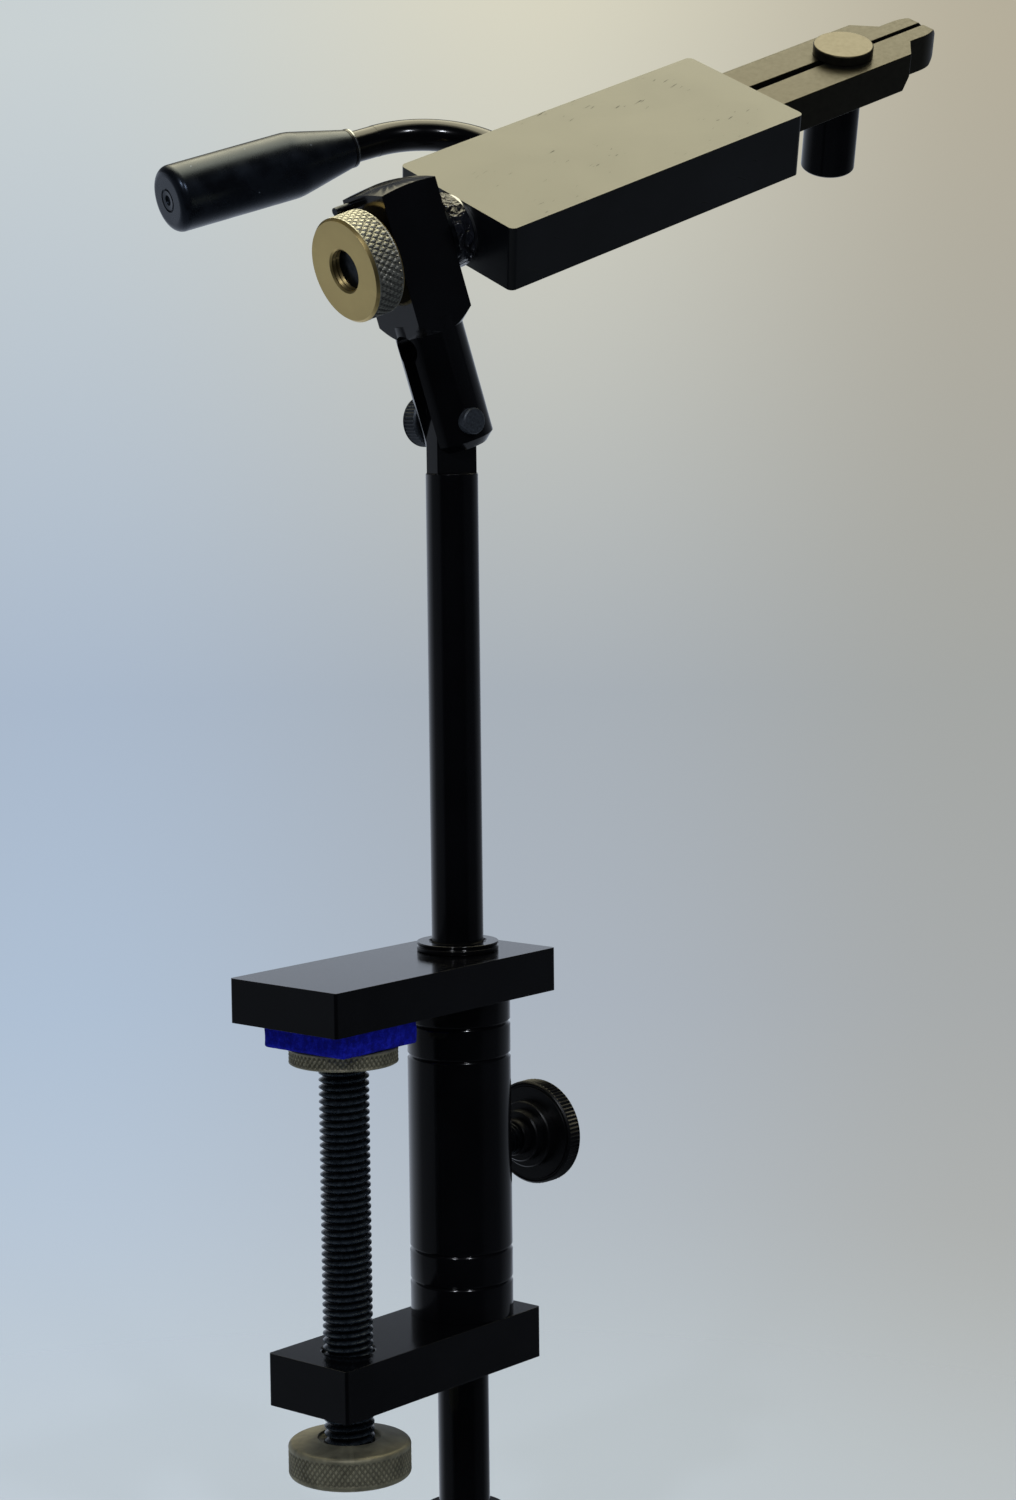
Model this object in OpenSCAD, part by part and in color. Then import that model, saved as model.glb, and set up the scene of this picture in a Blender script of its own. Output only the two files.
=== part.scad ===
// Fly tying vise: bench clamp, round stem, tilting knuckle and rotary head with lever-closed jaws
// The origin is on the clamp screw's axis, at the underside of the bench pad, where the bench top meets it
// +X runs from the clamp screw to the stem, +Z is up, and the rest pose has the clamp closed on its pad

/* [Clamp] */
// Distance from the clamp screw's axis to the stem's axis
throat = 41.4; // [36:0.1:60]
// Height of the column between the two bars
column_h = 80; // [50:0.5:120]
// Diameter of the column
column_d = 25.4; // [24.4:0.1:30]
// Width of the upper bar
upper_bar_w = 34; // [30:0.5:44]
// Thickness of the upper bar
upper_bar_t = 10.6; // [9:0.1:16]
// Upper bar beyond the screw's axis
upper_bar_nose = 20.3; // [16:0.1:30]
// Upper bar beyond the stem's axis
upper_bar_heel = 16.9; // [15:0.1:26]
// Width of the lower bar
lower_bar_w = 25.4; // [24.4:0.1:34]
// Thickness of the lower bar
lower_bar_t = 12.7; // [11:0.1:18]
// Lower bar beyond the screw's axis
lower_bar_nose = 14.2; // [10:0.1:24]
// Lower bar beyond the stem's axis
lower_bar_heel = 15; // [14:0.1:24]
// Corner radius of both bars
bar_corner_r = 0.8; // [0.2:0.1:3]
// Side of the square bench pad
pad_side = 25.9; // [20:0.1:30]
// Distance of the pad's middle behind the screw's axis
pad_back = 0.9; // [0:0.1:4]
// Thickness of the bench pad
pad_t = 6.35; // [3:0.05:9]
// Distance of the first groove from the upper bar
top_groove = 7; // [4:0.1:12]
// Distance of the first groove from the lower bar
bottom_groove = 8.6; // [4:0.1:12]
// Distance between the two grooves of a pair
groove_pitch = 8.1; // [5:0.1:12]
// Side of the square that cuts each groove
groove_side = 1.1; // [0.5:0.1:1.6]
// Diameter of the column's spigots
spigot_d = 20; // [18:0.1:22]
// Depth of the spigots in the bars
spigot_h = 6; // [4:0.1:7.5]
// Size of the set screws that hold the spigots
bar_set_d = 5; // [4:0.5:5.5]

/* [Clamp screw] */
// Diameter of the clamp screw's thread
screw_d = 12; // [10:0.5:13]
// Pitch of the clamp screw's thread
screw_pitch = 1.75; // [1.5:0.25:3]
// Diameter of the brass pressure disc
disc_d = 26; // [22:0.5:32]
// Thickness of the pressure disc
disc_t = 3.8; // [3.4:0.1:7]
// Gap between the disc and the pad when the clamp is stored closed
disc_gap = 0.3; // [0.2:0.1:3]
// Diameter of the screw's neck in the disc
neck_d = 8; // [6:0.5:8.5]
// Diameter of the ring that keeps the disc on the neck
retainer_d = 12; // [10.5:0.5:14]
// Thickness of that ring
retainer_t = 1; // [0.6:0.1:1.4]
// Distance from the lower bar down to the knob when the clamp is closed
knob_drop = 8.6; // [3:0.1:20]
// Diameter of the clamp knob
knob_d = 29.4; // [24:0.2:36]
// Height of the clamp knob's knurled rim
knob_rim_h = 7.6; // [5:0.1:14]
// Height of the knob's cone above its rim
knob_cone_h = 1; // [0.4:0.1:3]
// Height of the knob's round lower edge
knob_foot_h = 0.6; // [0.3:0.1:2]
// Diameter of the recess round the screw in the knob's top
knob_recess_d = 15.5; // [14:0.1:18]
// Depth of that recess
knob_recess_h = 0.9; // [0.3:0.1:2]
// Depth of the screw in the knob
knob_socket_h = 5.2; // [3:0.1:5.8]

/* [Stem lock] */
// Height of the lock screw above the lower bar
lock_rise = 40.1; // [30:0.1:48]
// Diameter of the lock screw's thread
lock_d = 8; // [6:0.5:8.5]
// Pitch of the lock screw's thread
lock_pitch = 1.25; // [0.8:0.05:1.5]
// Diameter of the lock knob
lock_knob_d = 26.2; // [20:0.2:34]
// Thickness of the lock knob's rim
lock_knob_t = 4.6; // [3:0.1:8]
// Distance from the stem's axis to the knob's inner face
lock_knob_out = 26.7; // [24:0.1:34]
// Diameter of the knob's hub at its largest step
lock_hub_d = 16.8; // [16.4:0.1:19]
// Difference in diameter from one step of the hub to the next
lock_step_drop = 3.8; // [3:0.1:3.8]
// Length of each of the hub's three steps
lock_step_h = 2.4; // [1.2:0.1:2.6]
// Diameter of the brass shoe at the lock screw's tip
shoe_d = 6.4; // [5:0.1:7]
// Length of that shoe
shoe_h = 1.8; // [1:0.1:3]
// Gap between the shoe and the stem
shoe_gap = 0.25; // [0.2:0.05:0.6]

/* [Stem] */
// Diameter of the stem
stem_d = 12.7; // [11.5:0.1:13.5]
// Height of the tongue's shoulder above the upper bar
stem_rise = 116.2; // [60:0.5:180]
// Height of the tilt pin above the shoulder
tongue_rise = 12.6; // [11.6:0.1:16]
// Thickness of the tongue
tongue_t = 4.76; // [3.5:0.01:6]
// Length of stem below the lower collar
stem_foot = 15; // [8:0.5:60]
// Radial running clearance of shafts and screws
run = 0.06; // [0.03:0.01:0.09]
// Wall of the stem's bushes
bush_wall = 1.6; // [1:0.1:1.8]
// Length of the stem's bushes
bush_h = 12; // [9:0.5:20]
// Diameter of the stem's collars
collar_d = 20; // [17:0.5:26]
// Thickness of the collar that rests on the upper bar
upper_collar_t = 2.2; // [2:0.1:8]
// Thickness of the lower collar
lower_collar_t = 3.4; // [2.8:0.1:8]
// Gap between the lower bar and the lower collar
lower_collar_gap = 37.4; // [5:0.1:60]
// Width of the groove round each collar
collar_groove = 0.6; // [0.3:0.1:0.8]
// Diameter of the lower collar's set screws
collar_set_d = 2; // [1.5:0.1:2.4]

/* [Knuckle] */
// Turn of the head about the stem at rest, in degrees
yaw = -13; // [-180:1:180]
// Tilt of the head above level at rest, in degrees
tilt = 18.5; // [-10:0.5:60]
// Turn of the head about its own axis at rest, in degrees
roll = 25.7; // [-60:0.1:60]
// Height of the rotary axis above the tilt pin
axis_rise = 43; // [38:0.1:60]
// Diameter of the fork's round leg
fork_d = 16.7; // [15.6:0.1:18]
// Length of the fork below the tilt pin
fork_foot = 6.6; // [5.5:0.1:8]
// Chamfer round the foot of the fork
fork_chamfer = 2; // [1:0.1:2.4]
// Height of the slot's round end above the tilt pin
slot_rise = 19.9; // [12:0.1:21]
// Diameter of the slot's round end
slot_end_d = 7.4; // [5.5:0.1:9]
// Width of the block along the rotary axis
block_l = 16.2; // [15.5:0.1:20]
// Width of the block across the rotary axis
block_w = 16.3; // [15.8:0.1:20]
// Distance of the block's middle ahead of the tilt pin
block_lead = 1; // [0:0.1:1.5]
// Height of the block's upper corners above the rotary axis
block_top = 14.4; // [14:0.1:20]
// Depth of the block's lower corners below the rotary axis
block_bottom = 17.2; // [12:0.1:19]
// Diameter of the tilt pin
tilt_pin_d = 6.35; // [4:0.05:7]
// Length of tilt pin that shows on the near side
tilt_pin_proud = 1.4; // [0.5:0.1:4]
// Depth of the flat on the fork's far side, under the tilt knob
fork_flat = 2.6; // [1:0.1:3.2]
// Diameter of the tilt knob
tilt_knob_d = 12.6; // [10:0.1:18]
// Thickness of the tilt knob
tilt_knob_t = 5; // [3:0.1:9]
// Thickness of the washer under the tilt knob
tilt_washer_t = 0.6; // [0.5:0.1:2]
// Diameter of the washer under the tilt knob
tilt_washer_d = 11; // [9:0.1:14]
// Pitch of the tilt knob's thread
tilt_pitch = 1; // [0.5:0.1:1.5]
// Diameter of the stop pin on the block
stop_pin_d = 2; // [1.5:0.1:2.5]
// Length of the stop pin that shows
stop_pin_proud = 4.6; // [2:0.1:8]
// Length of the stop pin in the block
stop_pin_seat = 5; // [3:0.1:8]
// Height of the stop pin above the rotary axis
stop_pin_rise = 12.8; // [12.6:0.1:13]
// Distance of the stop pin to the far side of the rotary axis
stop_pin_side = 5.8; // [5.6:0.1:6]

/* [Rotary shaft] */
// Diameter of the rotary shaft
shaft_d = 10; // [8:0.1:11]
// Wall of the shaft's bushes
shaft_bush_wall = 1.5; // [1:0.1:2]
// Length of each of the shaft's bushes
shaft_bush_h = 7; // [5:0.1:7.5]
// Diameter of the thrust washer ahead of the block
thrust_d = 17; // [14:0.1:20]
// Thickness of the thrust washer
thrust_t = 1.2; // [0.6:0.1:2]
// Diameter of the rotary collar
rotary_collar_d = 18.4; // [15:0.1:21]
// Length of the rotary collar
rotary_collar_t = 5.1; // [4:0.1:9]
// Thickness of the bright ring on the rotary collar
bright_ring_t = 0.8; // [0.4:0.1:1.5]
// Depth of the rotary shaft in the housing
shaft_seat = 19; // [12:0.5:20]
// Diameter of the brass nut
nut_d = 25.4; // [22:0.1:30]
// Thickness of the brass nut
nut_t = 8.4; // [6:0.1:12]
// Chamfer on the nut's edges
nut_chamfer = 0.9; // [0.4:0.1:1.5]
// Thickness of the drag washer under the nut
drag_t = 1.9; // [0.8:0.1:2.5]
// Diameter of the drag washer
drag_d = 15.4; // [14:0.1:20]
// Depth of the shaft's end in the nut
shaft_recess = 2.6; // [1:0.1:5]
// Side of the thread grooves in the nut and on the shaft
nut_pitch = 1.5; // [1:0.05:2]
// Gap between flat faces that slide or turn on each other
face_gap = 0.12; // [0.05:0.01:0.25]

/* [Housing] */
// Length of the head's housing
housing_l = 96.5; // [92:0.5:130]
// Width of the housing
housing_w = 41.6; // [40:0.1:60]
// Thickness of the housing
housing_t = 16.5; // [16.2:0.1:24]
// Corner radius of the housing
housing_corner_r = 1.6; // [0.5:0.1:4]
// Solid length of the housing behind its channel
housing_heel = 23.7; // [21:0.1:26]
// Width of the channel for the slide
channel_w = 12; // [11:0.1:13]
// Thickness of the housing over its channel
roof_t = 1.3; // [0.8:0.05:2]
// Length of the wide pocket for the jaws
pocket_l = 18; // [17:0.1:24]
// Width of the pocket for the jaws
pocket_w = 25; // [24.6:0.1:30]
// Width of the bottom cover
cover_w = 32; // [29:0.1:38]
// Thickness of the bottom cover
cover_t = 2.5; // [2:0.1:2.9]
// Overlap of the cover behind the channel
cover_lap = 8; // [7:0.1:9]
// Diameter of the cover's screws
cover_screw_d = 3; // [2:0.1:4]
// Length of the cover's screws
cover_screw_l = 8; // [5:0.1:9]
// Diameter of the cover screws' heads
cover_head_d = 5.4; // [4.5:0.1:6]
// Height of the cover screws' heads
cover_head_h = 1.2; // [0.8:0.1:1.5]

/* [Lever] */
// Distance of the lever's pivot ahead of the housing's rear face
lever_lead = 34.2; // [32:0.1:42]
// Diameter of the lever's rod
rod_d = 7.94; // [6.8:0.02:8.4]
// Radius of the rod's bend
bend_r = 23.5; // [18:0.1:34]
// Straight length of rod outside the housing
rod_proud = 3; // [1:0.1:8]
// Angle of the rod's bend, in degrees
bend_angle = 83.5; // [70:0.5:90]
// Length of rod between the bend and the grip
neck_l = 7; // [3:0.1:16]
// Length of the grip
grip_l = 52.2; // [40:0.1:80]
// Largest diameter of the grip
grip_d = 16.5; // [12:0.1:20]
// Diameter of the grip at its neck
grip_neck_d = 9.8; // [9.2:0.1:11]
// Length of the ring at the grip's neck
grip_ring_l = 1; // [0.6:0.1:3]
// Throw of the crank pin
crank_throw = 2.05; // [1.8:0.01:2.2]
// Diameter of the crank pin
crank_pin_d = 3.6; // [3:0.1:3.8]
// Length of the crank pin
crank_pin_l = 8; // [5:0.1:9]
// Outer wall of the lever's bush
lever_bush_wall = 1.2; // [0.8:0.1:1.6]
// Diameter of the dowel that keeps the lever in
dowel_d = 2; // [1.5:0.1:2.4]
// Depth of the dowel's groove in the rod
dowel_groove = 1; // [0.6:0.1:1.2]

/* [Slide and jaws] */
// Half the slide's whole travel
half_travel = 1.45; // [1:0.01:1.5]
// Thickness of the slide's bar
slide_t = 5; // [3.5:0.1:5.4]
// Length of the slide's yoke
yoke_l = 12; // [10:0.1:14]
// Width of the slide's yoke
yoke_w = 9.6; // [8:0.1:10.4]
// Height of the slide's yoke
yoke_h = 10; // [9.4:0.1:10.6]
// Width of the slide's bar
slide_w = 8.2; // [6:0.1:8.6]
// Clearance round hidden parts that slide
slide_gap = 0.3; // [0.2:0.01:0.4]
// Length of the wedge at the slide's tip
wedge_l = 6; // [4:0.1:7]
// Width of the wedge's tip
wedge_tip_w = 3; // [2:0.1:3.6]
// Width of the pair of jaws
jaws_w = 22.6; // [20:0.1:24]
// Thickness of the jaws
jaw_t = 9.9; // [8:0.1:10.4]
// Height of the jaws' top faces above the rotary axis
jaw_top = 6.6; // [5.4:0.05:6.7]
// Length of jaw inside the housing
jaw_tail = 15.8; // [14:0.1:16.4]
// Distance of the jaws' pivot ahead of the housing
pivot_lead = 35.2; // [26:0.1:50]
// Length of the jaws ahead of their pivot, to the tip
jaw_reach = 34.5; // [26:0.1:50]
// Distance ahead of the pivot where the shoulders start
shoulder_lead = 14; // [11:0.1:20]
// Width of the pair of jaws at the nose
nose_w = 11.5; // [9:0.1:14]
// Length of the nose's round end, seen from above
nose_round_l = 10; // [7:0.1:12]
// Gap between the jaws at their tips
tip_gap = 0.5; // [0.4:0.01:0.8]
// Gap between the jaws from their pivot to the bite
relief_gap = 1.4; // [1:0.1:2]
// Length of the jaws' bite at the tips
bite_l = 4; // [2:0.5:7]
// Gap between the jaws just behind the pivot
pivot_gap = 2.1; // [1.6:0.01:2.4]
// Gap between the jaws at the housing's front
mouth_gap = 2.6; // [2.3:0.01:3]
// Gap between the jaws where the wedge starts
throat_gap = 3.7; // [3.2:0.01:4.2]
// Diameter of the pivot post
post_d = 6; // [4:0.1:6.4]
// Diameter of the pivot post's cap
cap_d = 15.7; // [12:0.1:18]
// Thickness of the pivot post's cap
cap_t = 2.6; // [1.5:0.1:4]
// Thickness of the jaws' bridge
bridge_t = 3; // [2:0.1:3.6]
// Width of the jaws' bridge
bridge_w = 11; // [9:0.1:12]
// Angle that each jaw opens, in degrees
jaw_swing = 1.5; // [0.5:0.1:1.5]
// Distance of the jaws' spring ahead of their pivot
spring_lead = 8.4; // [7:0.1:11]
// Diameter of the spring that opens the jaws
jaw_spring_d = 2.8; // [2:0.1:3.4]
// Wire of that spring
jaw_spring_wire = 0.5; // [0.3:0.05:0.6]
// Depth of the spring's seats
spring_seat = 2.4; // [1.5:0.1:3]

/* [Adjuster] */
// Diameter of the adjuster
adjuster_d = 14.1; // [12:0.1:16]
// Length of the adjuster
adjuster_l = 21.6; // [14:0.1:30]
// Distance of the adjuster's axis behind the jaws' pivot
adjuster_back = 2; // [0:0.1:5]
// Diameter of the stud inside the adjuster
stud_d = 6; // [4.5:0.1:8]
// Thickness of the adjuster's end wall
adjuster_wall = 4; // [3:0.1:6]
// Diameter of the screw that keeps the adjuster on
keeper_d = 3; // [2.5:0.1:4]
// Diameter of that screw's head
keeper_head_d = 5.5; // [5:0.1:7]
// Height of that screw's head
keeper_head_h = 1.8; // [1:0.1:2.4]
// Whole length of that screw
keeper_l = 12; // [8:0.1:13]

/* [Hidden] */
$fn = 72;
// Overrun of every cut past the face that it opens
over = 1;
// Steps in a curve that is worked out by a formula
curve_steps = 8;

// Clamp places
stem_x = throat;
upper_bar_z = pad_t;
bar_top = pad_t + upper_bar_t;
lower_bar_top = pad_t - column_h;
lower_bar_z = lower_bar_top - lower_bar_t;
stem_r = stem_d / 2;
column_r = column_d / 2;
bush_r = stem_r + run + bush_wall;
bore_clearance = 0.25;
// Depth of the set screws' sockets as a share of their size
socket_share = 0.5;
// Depth of the thread as a share of its pitch
thread_depth_share = 0.54;
// Width of the thread's crest as a share of its pitch
crest_share = 0.15;
// Chamfer round the hole in the lower bar
hole_chamfer = 0.7;

// Clamp screw places
disc_z = -disc_gap - disc_t;
screw_r = screw_d / 2;
screw_top = disc_z - face_gap;
knob_top = lower_bar_z - knob_drop;
knob_rim_z = knob_top - knob_cone_h - knob_rim_h;
knob_z = knob_rim_z - knob_foot_h;
knob_seat = knob_top - knob_recess_h;
screw_z = knob_seat - knob_socket_h;
retainer_seat_h = retainer_t + 2 * slide_gap;
knob_screw_d = 5;
knob_screw_head_d = 9;
knob_screw_head_h = 1.4;
knob_screw_l = 6;

// Stem lock places
lock_z = lower_bar_top + lock_rise;
shoe_x = stem_x + stem_r + shoe_gap;
lock_tip_x = shoe_x + shoe_h;
lock_knob_x = stem_x + lock_knob_out;
lock_knob_bevel = 0.5;

// Stem places
shoulder_z = bar_top + stem_rise;
hinge_z = shoulder_z + tongue_rise;
upper_collar_z = bar_top + face_gap;
lower_collar_z = lower_bar_z - lower_collar_gap - lower_collar_t;
stem_z = lower_collar_z - stem_foot;
foot_chamfer = 0.8;
// Half width of the tongue, milled from the round stem
tongue_r = sqrt(pow(stem_r, 2) - pow(tongue_t / 2, 2)) - run;
collar_sink = 0.8;
// Height of the groove round each collar as a share of the collar's thickness
collar_groove_share = 0.6;

// Knuckle places
fork_r = fork_d / 2;
slot_w = tongue_t + 2 * run;
block_corner_r = norm([block_l, block_w]) / 2;
block_face_r = block_w / 2;
// Rise of the block's domed top as a share of its radius
top_slope_share = 0.18;
block_face_z = (block_corner_r - block_face_r) * top_slope_share;
block_crown = (block_corner_r - block_face_r / 2) * top_slope_share;
block_skirt = block_corner_r - fork_r;
block_rear = block_lead - block_l / 2;
block_front = block_lead + block_l / 2;
pin_r = tilt_pin_d / 2;
tilt_seat_y = fork_r - fork_flat;
tilt_washer_y = tilt_seat_y + face_gap;
tilt_knob_y = tilt_washer_y + tilt_washer_t + face_gap;
tilt_pin_end = tilt_knob_y + tilt_knob_t - face_gap;
tilt_knob_bevel = 0.4;

// Rotary shaft places
shaft_r = shaft_d / 2;
shaft_bush_r = shaft_r + run + shaft_bush_wall;
thrust_x = block_front + face_gap;
rotary_collar_x = thrust_x + thrust_t;
housing_x = rotary_collar_x + rotary_collar_t + bright_ring_t;
drag_x = block_rear - face_gap - drag_t;
nut_front = drag_x - face_gap;
nut_rear = nut_front - nut_t;
shaft_rear = nut_rear + shaft_recess;
shaft_front = housing_x + shaft_seat;
bright_ring_d = rotary_collar_d - 2 * bright_ring_t;

// Housing places
housing_front = housing_x + housing_l;
half_t = housing_t / 2;
channel_x = housing_x + housing_heel;
pocket_x = housing_front - pocket_l;
roof_z = half_t - roof_t;
floor_z = -half_t + cover_t;
cover_x = channel_x - cover_lap;
cover_screw_xs = [cover_x + cover_head_d, pocket_x - cover_head_d];
cover_screw_y = (channel_w + cover_head_d) / 2 + slide_gap;
cover_screw_ys = [-cover_screw_y, cover_screw_y];
shaft_set_d = 4;
shaft_set_l = half_t - shaft_r - cover_head_h;
shaft_set_xs = [housing_x + shaft_seat / 3, housing_x + shaft_seat * 2 / 3];

// Lever places
pivot_x = housing_x + lever_lead;
rod_r = rod_d / 2;
// Step in the rod's radius where its straight end leaves the bend
rod_step = 0.05;
rod_inner_y = channel_w / 2 - slide_gap;
rod_bend_y = housing_w / 2 + rod_proud;
bend_x = pivot_x - bend_r;
crank_start = 135;
crank_x = pivot_x + crank_throw * sin(crank_start);
crank_z = crank_throw * cos(crank_start);
lever_bush_r = rod_r + run + lever_bush_wall;
dowel_y = (channel_w + cover_w) / 4;
dowel_x = pivot_x + rod_r - dowel_groove + dowel_d / 2 + run;
dowel_l = half_t + roof_z / 2;
grip_bore_l = grip_l * 2 / 3;
grip_edge = 2.4;
dimple_d = 3;
dimple_h = 0.8;
// Length of the grip's cone and ring as a share of its length
grip_cone_share = 0.33;

// Slide and jaw places
slide_z = jaw_top - slide_gap - slide_t - slide_gap;
jaw_z = jaw_top - jaw_t;
bridge_z = jaw_z;
bridge_top = jaw_z + bridge_t;
rebate_top = bridge_top + slide_gap;
post_x = housing_front + pivot_lead;
tip_x = post_x + jaw_reach;
tail_x = housing_front - jaw_tail;
shoulder_x = post_x + shoulder_lead;
shoulder_run = (jaws_w - nose_w) / 2;
wedge_x = tail_x;
wedge_tip_x = wedge_x + wedge_l;
yoke_x = crank_x - yoke_l / 2;
yoke_slot_w = crank_pin_d + 2 * slide_gap;
yoke_slot_bottom = -crank_throw - crank_pin_d / 2 - slide_gap;
yoke_slot_top = crank_z + crank_pin_d / 2 + slide_gap;
bridge_foot_x = tail_x + wedge_l / 2;
rebate_w = bridge_w + 2 * slide_gap + 2 * (post_x - bridge_foot_x) * tan(jaw_swing);
nose_arc_r = (pow(nose_w / 2, 2) + pow(nose_round_l, 2)) / nose_w;
nose_top_run = 5;
nose_top_drop = 4.6;
nose_foot_run = 6;
nose_foot_rise = 2.8;
chin_run = 2;
chin_rise = 3.4;
cap_z = jaw_top + face_gap;
cap_bevel = 0.3;
spring_x = post_x + spring_lead;
spring_z = (jaw_top + rebate_top) / 2;
spring_seat_d = jaw_spring_d + 2 * slide_gap;
bridge_screw_in = cover_head_d / 2 + slide_gap;
bridge_screw_xs = [bridge_foot_x + bridge_screw_in, housing_front - bridge_screw_in];

// Adjuster places
adjuster_x = post_x - adjuster_back;
adjuster_top = jaw_z - slide_gap;
adjuster_z = adjuster_top - adjuster_l;
stud_z = adjuster_z + adjuster_wall + face_gap;
keeper_seat_h = keeper_head_h + face_gap;
adjuster_bevel = 0.5;

// A flat bar with rounded corners, seen from above
module bar_plate(x0, x1, w, z0, h, r) {
  translate([0, 0, z0])
    linear_extrude(height = h)
      rounded_plan(x0, x1, w, r);
}

module rounded_plan(x0, x1, w, r) {
  translate([x0 + r, -w / 2])
    square([x1 - x0 - 2 * r, w]);
  translate([x0, -w / 2 + r])
    square([x1 - x0, w - 2 * r]);
  for (x = [x0 + r, x1 - r], y = [-w / 2 + r, w / 2 - r])
    translate([x, y])
      circle(r = r);
}

// A round piece turned about Z, from its radius and height at each corner
module turned(profile) {
  rotate_extrude()
    polygon(profile);
}

module ring(r_in, r_out, z0, h) {
  translate([0, 0, z0])
    difference() {
      cylinder(r = r_out, h = h);
      translate([0, 0, -over])
        cylinder(r = r_in, h = h + 2 * over);
    }
}

// Corners of a threaded rod's half section, one tooth for each pitch
function thread_profile(r, pitch, z0, z1) =
  let (depth = pitch * thread_depth_share)
  let (crest = pitch * crest_share)
  let (flank = (pitch - 2 * crest) / 2)
  let (turns = floor((z1 - z0) / pitch))
  concat(
    [[0, z0], [r - depth, z0]],
    [for (i = [0:turns - 1], step = [0:3])
      let (z = z0 + i * pitch)
      step == 0 ? [r - depth, z + crest] :
      step == 1 ? [r, z + crest + flank] :
      step == 2 ? [r, z + 2 * crest + flank] : [r - depth, z + pitch]],
    [[r - depth, z1], [0, z1]]
  );

// Places of the stem's collars, of the tilting knuckle and of the rolled head
module at_stem() {
  translate([stem_x, 0, 0])
    children();
}

module at_tilt() {
  translate([stem_x, 0, hinge_z])
    rotate([0, 0, yaw])
      rotate([0, -tilt, 0])
        children();
}

module at_axis() {
  at_tilt()
    translate([0, 0, axis_rise])
      children();
}

module at_head() {
  at_axis()
    rotate([roll, 0, 0])
      children();
}

// Turns a piece made along Z so that it lies along X or along Y
module along_x() {
  rotate([0, 90, 0])
    children();
}

module along_y() {
  rotate([-90, 0, 0])
    children();
}

// Upper bar, a flat plate with a socket for the column and a hole for the stem
module upper_clamp_bar() {
  heel_x = stem_x + upper_bar_heel;
  color("#16161a")
    difference() {
      bar_plate(-upper_bar_nose, heel_x, upper_bar_w, upper_bar_z, upper_bar_t, bar_corner_r);
      at_stem()
        translate([0, 0, upper_bar_z - over])
          cylinder(r = stem_r + bore_clearance, h = upper_bar_t + 2 * over);
      at_stem()
        translate([0, 0, upper_bar_z - over])
          cylinder(d = spigot_d, h = spigot_h + over);
      bar_set_hole(upper_bar_z + spigot_h / 2, upper_bar_heel);
    }
}

module bar_set_hole(z, heel) {
  translate([stem_x + spigot_d / 2 - over, 0, z])
    along_x()
      cylinder(d = bar_set_d, h = heel - spigot_d / 2 + 2 * over);
}

// Lower bar, which carries the clamp screw's thread
module lower_clamp_bar() {
  heel_x = stem_x + lower_bar_heel;
  color("#16161a")
    difference() {
      bar_plate(-lower_bar_nose, heel_x, lower_bar_w, lower_bar_z, lower_bar_t, bar_corner_r);
      at_stem()
        translate([0, 0, lower_bar_z - over])
          cylinder(r = stem_r + bore_clearance, h = lower_bar_t + 2 * over);
      at_stem()
        translate([0, 0, lower_bar_top - spigot_h])
          cylinder(d = spigot_d, h = spigot_h + over);
      translate([0, 0, lower_bar_z - over])
        cylinder(r = screw_r + run, h = lower_bar_t + 2 * over);
      translate([0, 0, lower_bar_top - hole_chamfer])
        cylinder(r1 = screw_r + run, r2 = screw_r + run + 2 * hole_chamfer, h = 2 * hole_chamfer);
      bar_set_hole(lower_bar_top - spigot_h / 2, lower_bar_heel);
    }
}

// Column between the bars, with a spigot at each end, two pairs of grooves and the lock screw's hole
module clamp_column() {
  grooves = [
    upper_bar_z - top_groove, upper_bar_z - top_groove - groove_pitch,
    lower_bar_top + bottom_groove, lower_bar_top + bottom_groove + groove_pitch
  ];
  bottom = lower_bar_top - spigot_h;
  top = upper_bar_z + spigot_h;
  color("#131316")
    difference() {
      union() {
        at_stem()
          translate([0, 0, lower_bar_top])
            cylinder(r = column_r, h = column_h);
        at_stem()
          translate([0, 0, bottom])
            cylinder(d = spigot_d, h = top - bottom);
      }
      at_stem()
        for (z = grooves)
          rotate_extrude()
            translate([column_r, z])
              rotate([0, 0, 45])
                square(groove_side, center = true);
      at_stem()
        translate([0, 0, bottom - over])
          cylinder(r = stem_r + bore_clearance, h = top - bottom + 2 * over);
      at_stem()
        for (z = [bottom - over, top - bush_h])
          translate([0, 0, z])
            cylinder(r = bush_r + run, h = bush_h + over);
      translate([stem_x, 0, lock_z])
        along_x()
          cylinder(r = lock_d / 2 + run, h = column_r + over);
    }
}

// Felt pad stuck under the upper bar
module bench_pad() {
  color("#1a1d8f")
    translate([-pad_back - pad_side / 2, -pad_side / 2, 0])
      cube([pad_side, pad_side, pad_t]);
}

// Socket set screws in the bars' ends, which hold the column's spigots
module bar_set_screws() {
  upper_l = upper_bar_heel - spigot_d / 2 - slide_gap;
  lower_l = lower_bar_heel - spigot_d / 2 - slide_gap;
  color("#2a2a2c") {
    set_screw_x(upper_bar_z + spigot_h / 2, upper_l);
    set_screw_x(lower_bar_top - spigot_h / 2, lower_l);
  }
}

module set_screw_x(z, l) {
  translate([stem_x + spigot_d / 2, 0, z])
    along_x()
      set_screw(bar_set_d, l);
}

// A set screw along Z with a hexagon socket in its outer end
module set_screw(d, l) {
  difference() {
    cylinder(d = d, h = l);
    translate([0, 0, l - d * socket_share])
      cylinder(d = d * socket_share, h = d, $fn = 6);
  }
}

// Brass disc that presses the bench top up against the pad
module pressure_disc() {
  color("#b8a878")
    difference() {
      translate([0, 0, disc_z])
        cylinder(d = disc_d, h = disc_t);
      translate([0, 0, disc_z - over])
        cylinder(r = neck_d / 2 + run, h = disc_t + 2 * over);
      translate([0, 0, -disc_gap - retainer_seat_h])
        cylinder(r = retainer_d / 2 + slide_gap, h = retainer_seat_h + over);
    }
}

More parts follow.
